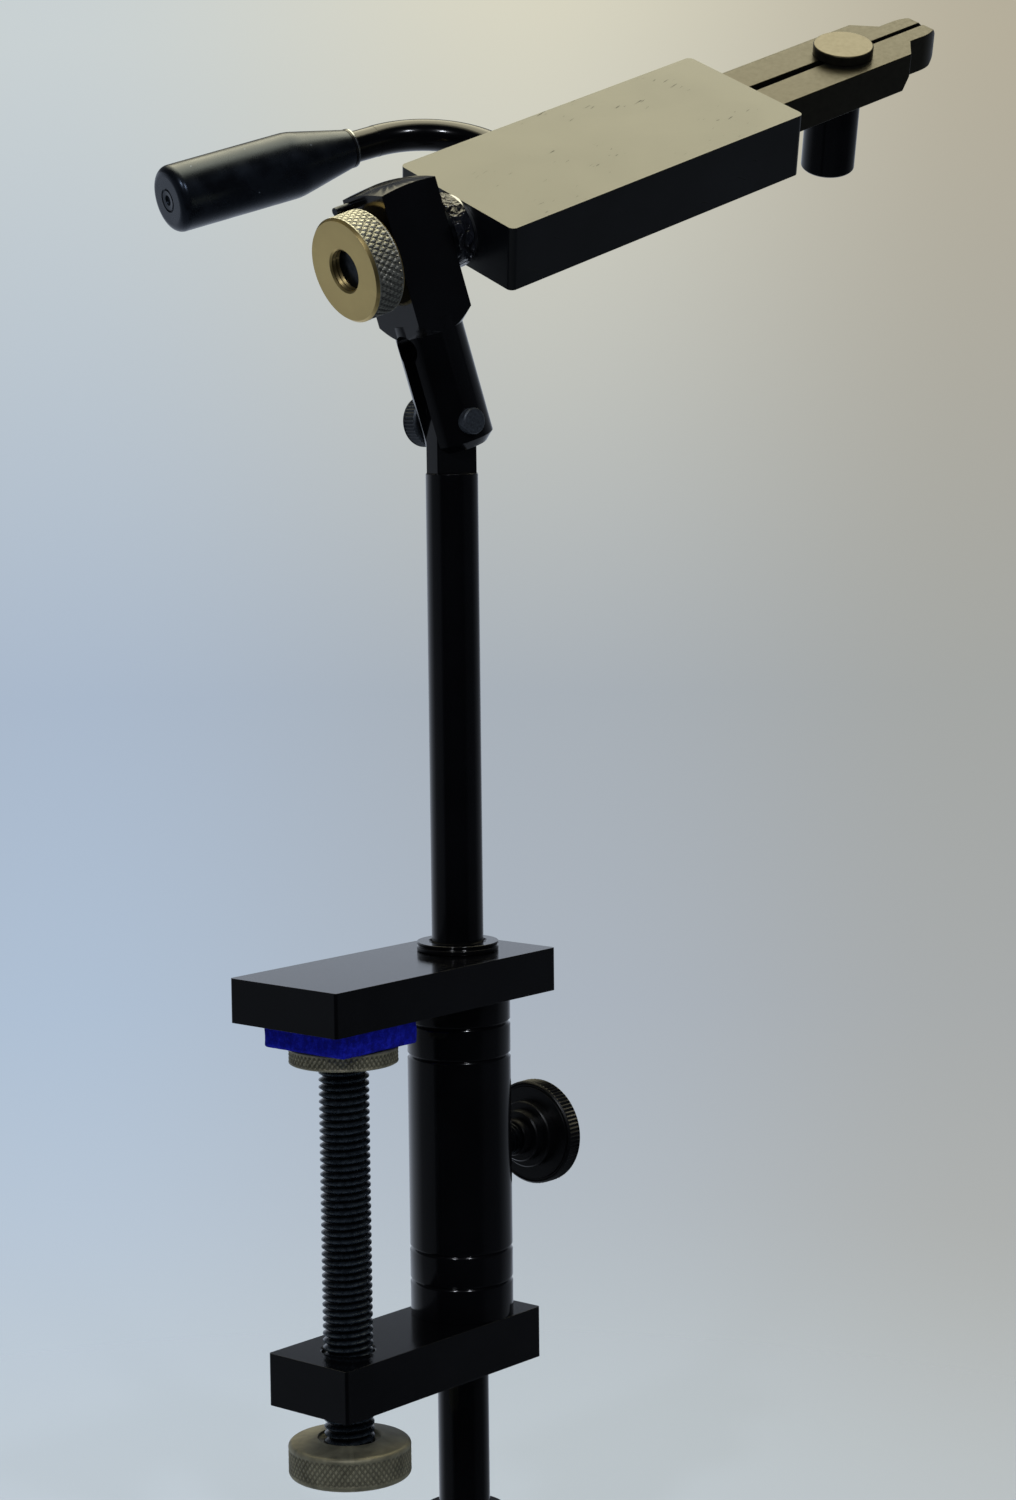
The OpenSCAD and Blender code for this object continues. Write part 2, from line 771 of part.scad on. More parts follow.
// Black threaded screw with a plain neck for the disc
module clamp_screw() {
  neck_top = -disc_gap - slide_gap;
  color("#1b1b1e") {
    difference() {
      turned(thread_profile(screw_r, screw_pitch, screw_z, screw_top));
      translate([0, 0, screw_z - over])
        cylinder(d = knob_screw_d, h = knob_screw_l + over);
    }
    translate([0, 0, screw_top - over])
      cylinder(d = neck_d, h = neck_top - screw_top + over);
  }
}

module disc_retaining_ring() {
  color("#8a8a8c")
    ring(neck_d / 2, retainer_d / 2, -disc_gap - slide_gap - retainer_t, retainer_t);
}

// Brass knob at the foot of the clamp screw
module clamp_knob() {
  hub_r = knob_recess_d / 2;
  rim_r = knob_d / 2;
  bore_r = screw_r;
  color("#b8a878")
    difference() {
      turned([
        [0, knob_z], [rim_r - knob_foot_h, knob_z], [rim_r, knob_rim_z],
        [rim_r, knob_top - knob_cone_h], [rim_r - knob_foot_h, knob_top - knob_cone_h + knob_foot_h / 2],
        [hub_r, knob_top], [hub_r, knob_seat], [0, knob_seat]
      ]);
      translate([0, 0, screw_z])
        cylinder(r = bore_r, h = knob_socket_h + over);
      translate([0, 0, knob_z - over])
        cylinder(d = knob_screw_d, h = knob_rim_h + over);
      translate([0, 0, knob_z - over])
        cylinder(d = knob_screw_head_d, h = knob_screw_head_h + over);
    }
}

// Flat-headed screw that ties the knob to the clamp screw
module knob_screw() {
  color("#3a3a3c")
    difference() {
      union() {
        translate([0, 0, knob_z])
          cylinder(d = knob_screw_head_d, h = knob_screw_head_h);
        translate([0, 0, knob_z])
          cylinder(d = knob_screw_d, h = screw_z + knob_screw_l - knob_z);
      }
      translate([0, 0, knob_z - over])
        cylinder(d = knob_screw_d * socket_share, h = knob_screw_head_h + over, $fn = 6);
    }
}

// Brass shoe that the lock screw presses on the stem
module lock_shoe() {
  color("#b39b5e")
    translate([shoe_x, 0, lock_z])
      along_x()
        cylinder(d = shoe_d, h = shoe_h);
}

module lock_screw() {
  color("#1b1b1e")
    translate([lock_tip_x + face_gap, 0, lock_z])
      along_x()
        turned(thread_profile(lock_d / 2, lock_pitch, 0, lock_knob_x - lock_tip_x - face_gap));
}

// Black knob with a straight-knurled rim and a stepped hub
module lock_knob() {
  knob_r = lock_knob_d / 2;
  color("#141417")
    translate([lock_knob_x, 0, lock_z])
      along_x() {
        turned([
          [0, 0], [knob_r - lock_knob_bevel, 0], [knob_r, lock_knob_bevel],
          [knob_r, lock_knob_t - lock_knob_bevel], [knob_r - lock_knob_bevel, lock_knob_t], [0, lock_knob_t]
        ]);
        for (i = [0:2])
          ring(lock_d / 2, (lock_hub_d - i * lock_step_drop) / 2, -lock_step_h * (i + 1), lock_step_h);
      }
}

// Plain bushes in the column, in which the stem turns and slides
module upper_stem_bush() {
  color("#a08a4c")
    at_stem()
      ring(stem_r + run, bush_r, upper_bar_z + spigot_h - bush_h + slide_gap, bush_h - 2 * slide_gap);
}

module lower_stem_bush() {
  color("#a08a4c")
    at_stem()
      ring(stem_r + run, bush_r, lower_bar_top - spigot_h + slide_gap, bush_h - 2 * slide_gap);
}

// Round stem with a tongue and a cross hole at its top
module stem() {
  color("#1a1a1d") {
    at_stem()
      turned([
        [0, stem_z], [stem_r - foot_chamfer, stem_z], [stem_r, stem_z + foot_chamfer],
        [stem_r, shoulder_z], [0, shoulder_z]
      ]);
    translate([stem_x, 0, hinge_z])
      rotate([0, 0, yaw])
        difference() {
          union() {
            translate([0, -tongue_t / 2, 0])
              along_y()
                cylinder(r = tongue_r, h = tongue_t);
            translate([-tongue_r, -tongue_t / 2, -tongue_rise - over])
              cube([2 * tongue_r, tongue_t, tongue_rise + over]);
          }
          translate([0, -tongue_t, 0])
            along_y()
              cylinder(r = pin_r + run, h = 2 * tongue_t);
        }
  }
}

// Stop collar with a groove round its rim and a countersunk bore
module stop_collar(z, h) {
  collar_r = collar_d / 2;
  groove_z = h * collar_groove_share;
  half_groove = collar_groove / 2;
  at_stem()
    translate([0, 0, z])
      turned([
        [stem_r, 0], [collar_r, 0], [collar_r, groove_z - half_groove],
        [collar_r - half_groove, groove_z - half_groove / 2],
        [collar_r - half_groove, groove_z + half_groove / 2], [collar_r, groove_z + half_groove],
        [collar_r, h], [stem_r + collar_sink, h], [stem_r, h - collar_sink]
      ]);
}

// Thin collar pressed on the stem, which sets how deep the stem sits in the clamp
module upper_stem_collar() {
  color("#17171a")
    stop_collar(upper_collar_z, upper_collar_t);
}

// Thicker collar that two set screws hold on the stem
module lower_stem_collar() {
  color("#17171a")
    difference() {
      stop_collar(lower_collar_z, lower_collar_t);
      at_stem()
        for (turn = [0, 180])
          rotate([0, 0, turn])
            translate([0, stem_r - over, lower_collar_z + lower_collar_t / 2])
              along_y()
                cylinder(d = collar_set_d, h = collar_d / 2);
    }
}

module collar_set_screws() {
  color("#3a3a3c")
    at_stem()
      for (turn = [0, 180])
        rotate([0, 0, turn])
          translate([0, stem_r, lower_collar_z + lower_collar_t / 2])
            along_y()
              set_screw(collar_set_d, collar_d / 2 - stem_r - collar_groove / 2);
}

// Square block on a round fork, one piece, bored for the rotary shaft and slotted for the stem's tongue
module knuckle_block() {
  leg_top = axis_rise - block_bottom;
  skirt_z = leg_top - block_skirt;
  crown_z = axis_rise + block_top;
  fork_end_r = fork_r - fork_chamfer;
  flat_top = tilt_knob_d / 2 + bore_clearance;
  color("#18181b")
    at_tilt()
      difference() {
        union() {
          intersection() {
            translate([block_rear, -block_w / 2, skirt_z - over])
              cube([block_l, block_w, crown_z + block_crown - skirt_z + 2 * over]);
            translate([block_lead, 0, 0])
              turned([
                [0, skirt_z], [fork_r, skirt_z], [block_corner_r, leg_top], [block_corner_r, crown_z],
                [block_face_r, crown_z + block_face_z], [block_face_r / 2, crown_z + block_crown],
                [0, crown_z + block_crown]
              ]);
          }
          translate([block_lead, 0, 0])
            turned([
              [0, -fork_foot], [fork_end_r, -fork_foot], [fork_r, -fork_foot + fork_chamfer],
              [fork_r, leg_top], [0, leg_top]
            ]);
        }
        translate([-fork_d, tilt_seat_y, -fork_foot - over])
          cube([2 * fork_d, fork_d, fork_foot + over + flat_top]);
        translate([-fork_d, -slot_w / 2, -fork_foot - over])
          cube([2 * fork_d, slot_w, slot_rise + fork_foot + over]);
        translate([-fork_d, 0, slot_rise])
          along_x()
            cylinder(d = slot_end_d, h = 2 * fork_d);
        translate([0, -fork_d, 0])
          along_y()
            cylinder(r = pin_r, h = 2 * fork_d);
        translate([block_rear - over, 0, axis_rise])
          along_x()
            cylinder(r = shaft_bush_r, h = block_l + 2 * over);
        translate([block_rear - over, stop_pin_side, axis_rise + stop_pin_rise])
          along_x()
            cylinder(d = stop_pin_d, h = stop_pin_seat + over);
      }
}

// Pin through the fork and the tongue, with a threaded far end
module tilt_pin() {
  near_end = -fork_r - tilt_pin_proud;
  pin_bevel = 0.4;
  color("#1f1f22")
    at_tilt()
      along_y()
        turned([
          [0, near_end], [pin_r - pin_bevel, near_end], [pin_r, near_end + pin_bevel],
          [pin_r, tilt_pin_end - pin_bevel], [pin_r - pin_bevel, tilt_pin_end], [0, tilt_pin_end]
        ]);
}

module rear_shaft_bush() {
  color("#a08a4c")
    at_axis()
      along_x()
        ring(shaft_r + run, shaft_bush_r, block_rear, shaft_bush_h);
}

module front_shaft_bush() {
  color("#a08a4c")
    at_axis()
      along_x()
        ring(shaft_r + run, shaft_bush_r, block_front - shaft_bush_h, shaft_bush_h);
}

// Small pin that stands out behind the block
module stop_pin() {
  color("#202024")
    at_axis()
      translate([block_rear - stop_pin_proud, stop_pin_side, stop_pin_rise])
        along_x()
          cylinder(d = stop_pin_d, h = stop_pin_proud + stop_pin_seat);
}

module tilt_washer() {
  color("#4a4a4c")
    at_tilt()
      along_y()
        ring(pin_r + run, tilt_washer_d / 2, tilt_washer_y, tilt_washer_t);
}

module tilt_knob() {
  knob_r = tilt_knob_d / 2;
  color("#3a3b3d")
    at_tilt()
      translate([0, tilt_knob_y, 0])
        along_y()
          difference() {
            turned([
              [0, 0], [knob_r - tilt_knob_bevel, 0], [knob_r, tilt_knob_bevel],
              [knob_r, tilt_knob_t - tilt_knob_bevel],
              [knob_r - tilt_knob_bevel, tilt_knob_t], [0, tilt_knob_t]
            ]);
            translate([0, 0, -over])
              cylinder(r = pin_r + run, h = tilt_knob_t + 2 * over);
          }
}

// Rotary shaft, fixed in the housing and turning in the block's bushes
module rotary_shaft() {
  color("#232327")
    at_axis()
      translate([shaft_rear, 0, 0])
        along_x()
          cylinder(r = shaft_r, h = shaft_front - shaft_rear);
}

module thrust_washer() {
  color("#2b2b2e")
    at_axis()
      along_x()
        ring(shaft_r, thrust_d / 2, thrust_x, thrust_t);
}

module rotary_collar() {
  collar_r = rotary_collar_d / 2;
  collar_bevel = 0.6;
  color("#1a1a1d")
    at_axis()
      translate([rotary_collar_x, 0, 0])
        along_x()
          difference() {
            turned([
              [0, 0], [collar_r - collar_bevel, 0], [collar_r, collar_bevel],
              [collar_r, rotary_collar_t - collar_bevel], [collar_r - collar_bevel, rotary_collar_t],
              [0, rotary_collar_t]
            ]);
            translate([0, 0, -over])
              cylinder(r = shaft_r, h = rotary_collar_t + 2 * over);
          }
}

module bright_ring() {
  color("#c8c8ca")
    at_axis()
      along_x()
        ring(shaft_r, bright_ring_d / 2, rotary_collar_x + rotary_collar_t, bright_ring_t);
}

module drag_washer() {
  color("#3a3a3d")
    at_axis()
      along_x()
        ring(shaft_r + run, drag_d / 2, drag_x, drag_t);
}

// Brass nut that sets the drag of the rotary shaft
module brass_nut() {
  nut_r = nut_d / 2;
  groove_r = shaft_r + run;
  color("#b8a878")
    at_axis()
      translate([nut_rear, 0, 0])
        along_x()
          difference() {
            turned([
              [0, 0], [nut_r - nut_chamfer, 0], [nut_r, nut_chamfer],
              [nut_r, nut_t - nut_chamfer], [nut_r - nut_chamfer, nut_t], [0, nut_t]
            ]);
            translate([0, 0, -over])
              cylinder(r = groove_r, h = nut_t + 2 * over);
            for (z = [nut_pitch / 2:nut_pitch:shaft_recess])
              rotate_extrude()
                translate([groove_r, z])
                  rotate([0, 0, 45])
                    square(nut_pitch / 2, center = true);
          }
}

// Housing of the head, milled from below for the slide and open at the front for the jaws
module head_housing() {
  half_w = housing_w / 2;
  color("#1c1c1e")
    at_head()
      difference() {
        bar_plate(housing_x, housing_front, housing_w, -half_t, housing_t, housing_corner_r);
        translate([housing_x - over, 0, 0])
          along_x()
            cylinder(r = shaft_r, h = shaft_seat + over);
        translate([channel_x, -channel_w / 2, -half_t - over])
          cube([pocket_x - channel_x + over, channel_w, half_t + roof_z + over]);
        translate([pocket_x, -pocket_w / 2, -half_t - over])
          cube([pocket_l + over, pocket_w, half_t + roof_z + over]);
        translate([cover_x, -cover_w / 2, -half_t - over])
          cube([housing_front - cover_x + over, cover_w, cover_t + over]);
        for (x = cover_screw_xs, y = cover_screw_ys)
          translate([x, y, -half_t - over])
            cylinder(d = cover_screw_d, h = cover_screw_l + over);
        for (x = shaft_set_xs)
          translate([x, 0, -half_t - over])
            cylinder(d = shaft_set_d, h = half_t + over);
        translate([pivot_x, 0, 0])
          along_y()
            cylinder(r = lever_bush_r, h = half_w + over);
        translate([dowel_x, dowel_y, -half_t - over])
          cylinder(d = dowel_d, h = dowel_l + over);
      }
}

// Plate let into the housing's underside
module bottom_cover() {
  color("#1c1c1e")
    at_head()
      difference() {
        translate([cover_x, -cover_w / 2, -half_t])
          cube([housing_front - cover_x, cover_w, cover_t]);
        for (x = cover_screw_xs, y = cover_screw_ys)
          translate([x, y, 0])
            cover_screw_hole();
        for (x = bridge_screw_xs)
          translate([x, 0, 0])
            cover_screw_hole();
        translate([dowel_x, dowel_y, -half_t - over])
          cylinder(d = dowel_d, h = cover_t + 2 * over);
      }
}

module cover_screw_hole() {
  translate([0, 0, -half_t - over])
    cylinder(d = cover_screw_d, h = cover_t + 2 * over);
  translate([0, 0, -half_t - over])
    cylinder(d = cover_head_d, h = cover_head_h + over);
}

// A socket screw whose head is flush with the underside of the cover
module cover_screw(l) {
  translate([0, 0, -half_t])
    difference() {
      union() {
        cylinder(d = cover_head_d, h = cover_head_h);
        cylinder(d = cover_screw_d, h = l);
      }
      translate([0, 0, -over])
        cylinder(d = cover_screw_d * socket_share, h = cover_head_h + over, $fn = 6);
    }
}

module cover_screws() {
  color("#3a3a3c")
    at_head()
      for (x = cover_screw_xs, y = cover_screw_ys)
        translate([x, y, 0])
          cover_screw(cover_screw_l);
}

module bridge_screws() {
  color("#3a3a3c")
    at_head()
      for (x = bridge_screw_xs)
        translate([x, 0, 0])
          cover_screw(half_t + bridge_top - slide_gap);
}

module shaft_set_screws() {
  color("#3a3a3c")
    at_head()
      for (x = shaft_set_xs)
        translate([x, 0, -shaft_r])
          rotate([180, 0, 0])
            set_screw(shaft_set_d, shaft_set_l);
}

// Bush in the housing's far wall, in which the lever turns
module lever_bush() {
  bush_l = (housing_w - channel_w) / 2;
  color("#a08a4c")
    at_head()
      difference() {
        translate([pivot_x, channel_w / 2, 0])
          along_y()
            ring(rod_r + run, lever_bush_r, 0, bush_l);
        translate([dowel_x, dowel_y, -half_t])
          cylinder(d = dowel_d, h = dowel_l);
      }
}

// Dowel that runs in the rod's groove and keeps the lever in the housing
module lever_dowel() {
  color("#6a6a6c")
    at_head()
      translate([dowel_x, dowel_y, -half_t])
        cylinder(d = dowel_d, h = dowel_l);
}

// Bent steel rod of the lever, with a crank pin on its inner end
module lever_rod() {
  groove_w = dowel_d + 2 * slide_gap;
  color("#17171a")
    at_head() {
      difference() {
        translate([pivot_x, rod_inner_y, 0])
          along_y()
            cylinder(r = rod_r, h = rod_bend_y - rod_inner_y);
        translate([pivot_x, dowel_y - groove_w / 2, 0])
          along_y()
            ring(rod_r - dowel_groove, rod_d, 0, groove_w);
      }
      translate([crank_x, rod_inner_y - crank_pin_l, crank_z])
        along_y()
          cylinder(d = crank_pin_d, h = crank_pin_l + over);
      translate([bend_x, rod_bend_y, 0])
        rotate_extrude(angle = bend_angle)
          translate([bend_r, 0])
            circle(r = rod_r);
      at_grip()
        translate([0, 0, -over])
          cylinder(r = rod_r - rod_step, h = neck_l + grip_bore_l + over);
    }
}

// Place of the rod's straight end, with Z along the grip
module at_grip() {
  translate([bend_x, rod_bend_y, 0])
    rotate([0, 0, bend_angle])
      translate([bend_r, 0, 0])
        along_y()
          children();
}

module lever_grip() {
  color("#101012")
    at_head()
      at_grip()
        translate([0, 0, neck_l])
          difference() {
            turned(concat(
              [[0, grip_ring_l], [grip_neck_d / 2, grip_ring_l], [grip_d / 2, grip_l * grip_cone_share]],
              [for (i = [0:curve_steps])
                let (a = 90 * i / curve_steps)
                [grip_d / 2 - grip_edge * (1 - cos(a)), grip_l - grip_edge * (1 - sin(a))]],
              [[0, grip_l]]
            ));
            cylinder(r = rod_r - rod_step, h = grip_bore_l);
            translate([0, 0, grip_l - dimple_h])
              cylinder(d = dimple_d, h = dimple_h + over);
          }
}

module grip_ring() {
  color("#1c1c1e")
    at_head()
      at_grip()
        ring(rod_r - rod_step, grip_neck_d / 2, neck_l, grip_ring_l);
}

// Slide that carries the crank's push to the wedge between the jaws' tails
module jaw_slide() {
  color("#77787a")
    at_head()
      difference() {
        union() {
          translate([yoke_x, -yoke_w / 2, -yoke_h / 2])
            cube([yoke_l, yoke_w, yoke_h]);
          translate([yoke_x + yoke_l - over, -slide_w / 2, slide_z])
            cube([wedge_x - yoke_x - yoke_l + over, slide_w, slide_t]);
          translate([0, 0, slide_z])
            linear_extrude(height = slide_t)
              polygon([
                [wedge_x - over, -slide_w / 2], [wedge_x, -slide_w / 2], [wedge_tip_x, -wedge_tip_w / 2],
                [wedge_tip_x, wedge_tip_w / 2], [wedge_x, slide_w / 2], [wedge_x - over, slide_w / 2]
              ]);
        }
        translate([crank_x - yoke_slot_w / 2, -yoke_w, yoke_slot_bottom])
          cube([yoke_slot_w, 2 * yoke_w, yoke_slot_top - yoke_slot_bottom]);
      }
}

// Tongue fixed to the cover, which carries the jaws' pivot post and the adjuster's stud
module jaw_bridge() {
  foot_l = housing_front - bridge_foot_x;
  color("#29292c")
    at_head()
      difference() {
        union() {
          translate([bridge_foot_x, -bridge_w / 2, floor_z])
            cube([foot_l, bridge_w, bridge_top - floor_z]);
          translate([housing_front - over, -bridge_w / 2, bridge_z])
            cube([pivot_lead + over, bridge_w, bridge_t]);
          translate([post_x, 0, bridge_z])
            cylinder(d = bridge_w, h = bridge_t);
          translate([adjuster_x, 0, stud_z])
            cylinder(d = stud_d, h = bridge_top - stud_z);
        }
        translate([post_x, 0, bridge_z + face_gap])
          cylinder(d = post_d, h = bridge_t);
        for (x = bridge_screw_xs)
          translate([x, 0, floor_z - over])
            cylinder(d = cover_screw_d, h = bridge_top - floor_z + over - slide_gap);
        translate([adjuster_x, 0, adjuster_z])
          cylinder(d = keeper_d, h = keeper_l + slide_gap);
      }
}

// Post on which both jaws turn, with its round cap
module pivot_post() {
  cap_r = cap_d / 2;
  color("#1c1c1e")
    at_head()
      translate([post_x, 0, 0]) {
        turned([
          [0, cap_z], [cap_r, cap_z], [cap_r, cap_z + cap_t - cap_bevel],
          [cap_r - cap_bevel, cap_z + cap_t], [0, cap_z + cap_t]
        ]);
        translate([0, 0, bridge_z + face_gap])
          cylinder(d = post_d, h = cap_z - bridge_z);
      }
}

// Coil spring between the jaws, drawn as a plain tube
module jaw_spring() {
  spring_l = 2 * (spring_seat + tip_gap);
  color("#9a9a9c")
    at_head()
      translate([spring_x, -spring_l / 2 + slide_gap, spring_z])
        along_y()
          ring(jaw_spring_d / 2 - jaw_spring_wire, jaw_spring_d / 2, 0, spring_l - 2 * slide_gap);
}

// The far jaw, and the near jaw as its mirror image
module jaw() {
  half_w = jaws_w / 2;
  nose_half = nose_w / 2;
  arc_x = tip_x - nose_round_l;
  color("#1e1e20")
    difference() {
      intersection() {
        translate([0, 0, jaw_z])
          linear_extrude(height = jaw_t)
            jaw_plan(half_w, nose_half, arc_x);
        rotate([90, 0, 0])
          translate([0, 0, -jaws_w])
            linear_extrude(height = 2 * jaws_w)
              jaw_side();
      }
      translate([post_x, 0, jaw_z - over])
        cylinder(r = post_d / 2 + run, h = jaw_t + 2 * over);
      translate([tail_x - over, -over, jaw_z - over])
        cube([post_x - tail_x + over, rebate_w / 2 + over, rebate_top - jaw_z + over]);
      translate([post_x, 0, jaw_z - over])
        cylinder(d = rebate_w, h = rebate_top - jaw_z + over);
      translate([spring_x, 0, spring_z])
        along_y()
          cylinder(d = spring_seat_d, h = tip_gap / 2 + spring_seat + slide_gap);
    }
}

// Seen from above: tail, shoulder and nose outside, and the gap between the jaws inside
module jaw_plan(half_w, nose_half, arc_x) {
  wedge_half = slide_w / 2 + slide_gap;
  difference() {
    union() {
      polygon([
        [tail_x, wedge_half], [wedge_tip_x, throat_gap / 2], [housing_front, mouth_gap / 2],
        [post_x - cap_d / 2, pivot_gap / 2], [post_x, tip_gap], [spring_x, tip_gap / 2],
        [arc_x, tip_gap / 2], [arc_x, nose_half], [shoulder_x + shoulder_run, nose_half],
        [shoulder_x, half_w], [tail_x, half_w]
      ]);
      intersection() {
        translate([arc_x, tip_gap / 2])
          square([nose_round_l, nose_half]);
        translate([arc_x, nose_half - nose_arc_r])
          circle(r = nose_arc_r);
      }
    }
    translate([post_x, 0])
      square([tip_x - bite_l - post_x, relief_gap / 2]);
  }
}

// Seen from the side: bevelled chin, foot and top of the nose
module jaw_side() {
  nose_x = shoulder_x + shoulder_run;
  polygon([
    [tail_x - over, jaw_z], [shoulder_x, jaw_z], [nose_x, jaw_z], [tip_x - nose_foot_run, jaw_z],
    [tip_x, jaw_z + nose_foot_rise], [tip_x, jaw_top - nose_top_drop], [tip_x - nose_top_run, jaw_top],
    [tail_x - over, jaw_top]
  ]);
}

module left_jaw() {
  at_head()
    chin_cut()
      jaw();
}

module right_jaw() {
  at_head()
    mirror([0, 1, 0])
      chin_cut()
        jaw();
}

// Bevels the lower corner of the shoulder, outside the nose
module chin_cut() {
  difference() {
    children();
    translate([0, nose_w / 2, 0])
      rotate([90, 0, 0])
        translate([0, 0, -jaws_w])
          linear_extrude(height = jaws_w)
            polygon([
              [shoulder_x - chin_run, jaw_z - over], [shoulder_x - chin_run, jaw_z],
              [shoulder_x, jaw_z + chin_rise], [shoulder_x + shoulder_run + over, jaw_z + chin_rise],
              [shoulder_x + shoulder_run + over, jaw_z - over]
            ]);
  }
}

// Sleeve that turns on the bridge's stud under the jaws
module adjuster_sleeve() {
  sleeve_r = adjuster_d / 2;
  color("#121215")
    at_head()
      translate([adjuster_x, 0, 0])
        difference() {
          turned([
            [0, adjuster_z], [sleeve_r - adjuster_bevel, adjuster_z],
            [sleeve_r, adjuster_z + adjuster_bevel], [sleeve_r, adjuster_top - adjuster_bevel],
            [sleeve_r - adjuster_bevel, adjuster_top], [0, adjuster_top]
          ]);
          translate([0, 0, adjuster_z + adjuster_wall])
            cylinder(r = stud_d / 2 + run, h = adjuster_l);
          translate([0, 0, adjuster_z - over])
            cylinder(r = keeper_d / 2 + run, h = adjuster_l);
          translate([0, 0, adjuster_z - over])
            cylinder(r = keeper_head_d / 2 + run, h = keeper_seat_h + over);
        }
}

module adjuster_screw() {
  color("#3a3a3c")
    at_head()
      translate([adjuster_x, 0, adjuster_z])
        difference() {
          union() {
            cylinder(d = keeper_head_d, h = keeper_head_h);
            cylinder(d = keeper_d, h = keeper_l);
          }
          translate([0, 0, -over])
            cylinder(d = keeper_d * socket_share, h = keeper_head_h + over, $fn = 6);
        }
}

upper_clamp_bar();
lower_clamp_bar();
clamp_column();
bench_pad();
bar_set_screws();
pressure_disc();
clamp_screw();
disc_retaining_ring();
clamp_knob();
knob_screw();
lock_shoe();
lock_screw();
lock_knob();
upper_stem_bush();
lower_stem_bush();
stem();
upper_stem_collar();
lower_stem_collar();
collar_set_screws();
knuckle_block();
tilt_pin();
rear_shaft_bush();
front_shaft_bush();
stop_pin();
tilt_washer();
tilt_knob();
rotary_shaft();
thrust_washer();
rotary_collar();
bright_ring();
drag_washer();
brass_nut();
head_housing();
bottom_cover();
cover_screws();
shaft_set_screws();
lever_bush();
lever_dowel();
lever_rod();
lever_grip();
grip_ring();
jaw_slide();
jaw_bridge();
bridge_screws();
pivot_post();
jaw_spring();
left_jaw();
right_jaw();
adjuster_sleeve();
adjuster_screw();
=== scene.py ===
import bpy
import bmesh
import math
from mathutils import Matrix, Vector


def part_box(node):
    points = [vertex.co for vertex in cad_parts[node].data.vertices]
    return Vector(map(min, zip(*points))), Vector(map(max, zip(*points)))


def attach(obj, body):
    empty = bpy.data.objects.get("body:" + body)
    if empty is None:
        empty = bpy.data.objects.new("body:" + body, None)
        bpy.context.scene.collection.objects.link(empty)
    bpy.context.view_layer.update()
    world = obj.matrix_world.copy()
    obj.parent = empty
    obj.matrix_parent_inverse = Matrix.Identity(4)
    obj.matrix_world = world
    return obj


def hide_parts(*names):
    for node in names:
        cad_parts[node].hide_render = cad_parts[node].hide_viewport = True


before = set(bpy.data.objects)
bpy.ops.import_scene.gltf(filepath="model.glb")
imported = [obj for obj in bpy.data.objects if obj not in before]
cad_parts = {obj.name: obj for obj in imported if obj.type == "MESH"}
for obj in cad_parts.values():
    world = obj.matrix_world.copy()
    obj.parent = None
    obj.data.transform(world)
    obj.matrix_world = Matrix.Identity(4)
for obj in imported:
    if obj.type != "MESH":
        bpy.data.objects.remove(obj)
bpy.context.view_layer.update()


# Camera
# The photograph is taken from the left front, a little above the clamp, with a long lens.
# The place and the turn are those at which the vise's edges fall where the photograph has them.
camera_data = bpy.data.cameras.new("camera")
camera_data.lens = 77.526
camera_data.sensor_width = 36
camera_data.sensor_fit = "AUTO"
camera_data.clip_start = 0.02
camera_data.clip_end = 30
camera = bpy.data.objects.new("camera", camera_data)
bpy.context.collection.objects.link(camera)
bearing, height_angle, lean = (math.radians(a) for a in (-49.76, 6.16, -0.62))
backward = Vector((
    math.sin(bearing) * math.cos(height_angle),
    -math.cos(bearing) * math.cos(height_angle),
    math.sin(height_angle),
))
level = Vector((math.cos(bearing), math.sin(bearing), 0))
rise = backward.cross(level)
rightward = level * math.cos(lean) + rise * math.sin(lean)
upward = rise * math.cos(lean) - level * math.sin(lean)
aimed = Matrix((rightward, upward, backward)).transposed().to_4x4()
camera.matrix_world = Matrix.Translation((-0.54664, -0.51444, 0.15029)) @ aimed
bpy.context.scene.camera = camera
bpy.context.scene.view_settings.view_transform = "Standard"


# Studio: backdrop
# A plain wall, cool grey-blue low on the left and warm beige at the top. The camera sees it all.
# Gloss and metal see a room round it: darker at its sides, nearly black behind the camera, with a
# wide warm ceiling light. Soft plain light comes from all round.


# Linear light from the hex code of a screen colour
def linear(code):
    parts = [int(code[i:i + 2], 16) / 255 for i in (1, 3, 5)]
    return [p / 12.92 if p <= 0.04045 else ((p + 0.055) / 1.055) ** 2.4 for p in parts] + [1.0]


# Joins sources to a node's inputs. A whole node as a source stands for its first output
def feed(node, sources):
    for name, source in sources.items():
        if isinstance(source, bpy.types.Node):
            source = source.outputs[0]
        node.id_data.links.new(source, node.inputs[name])


# Inputs are named, or numbered where the name isn't theirs alone. In a MapRange 1 and 2 are the
# range that comes in and 3 and 4 the one that goes out; in a Mix 6 and 7 are its two colours
def add_node(tree, kind, settings=None, sources=None):
    node = tree.nodes.new("ShaderNode" + kind)
    for name, value in (settings or {}).items():
        if isinstance(name, int) or name in node.inputs:
            node.inputs[name].default_value = value
        else:
            setattr(node, name, value)
    feed(node, sources or {})
    return node


# The stops are hex colours, or plain numbers for a level of light
def set_ramp(node, *stops):
    ramp = node.color_ramp
    while len(ramp.elements) < len(stops):
        ramp.elements.new(0.5)
    for element, (place, tone) in zip(ramp.elements, stops):
        element.position = place
        element.color = linear(tone) if isinstance(tone, str) else (tone, tone, tone, 1.0)


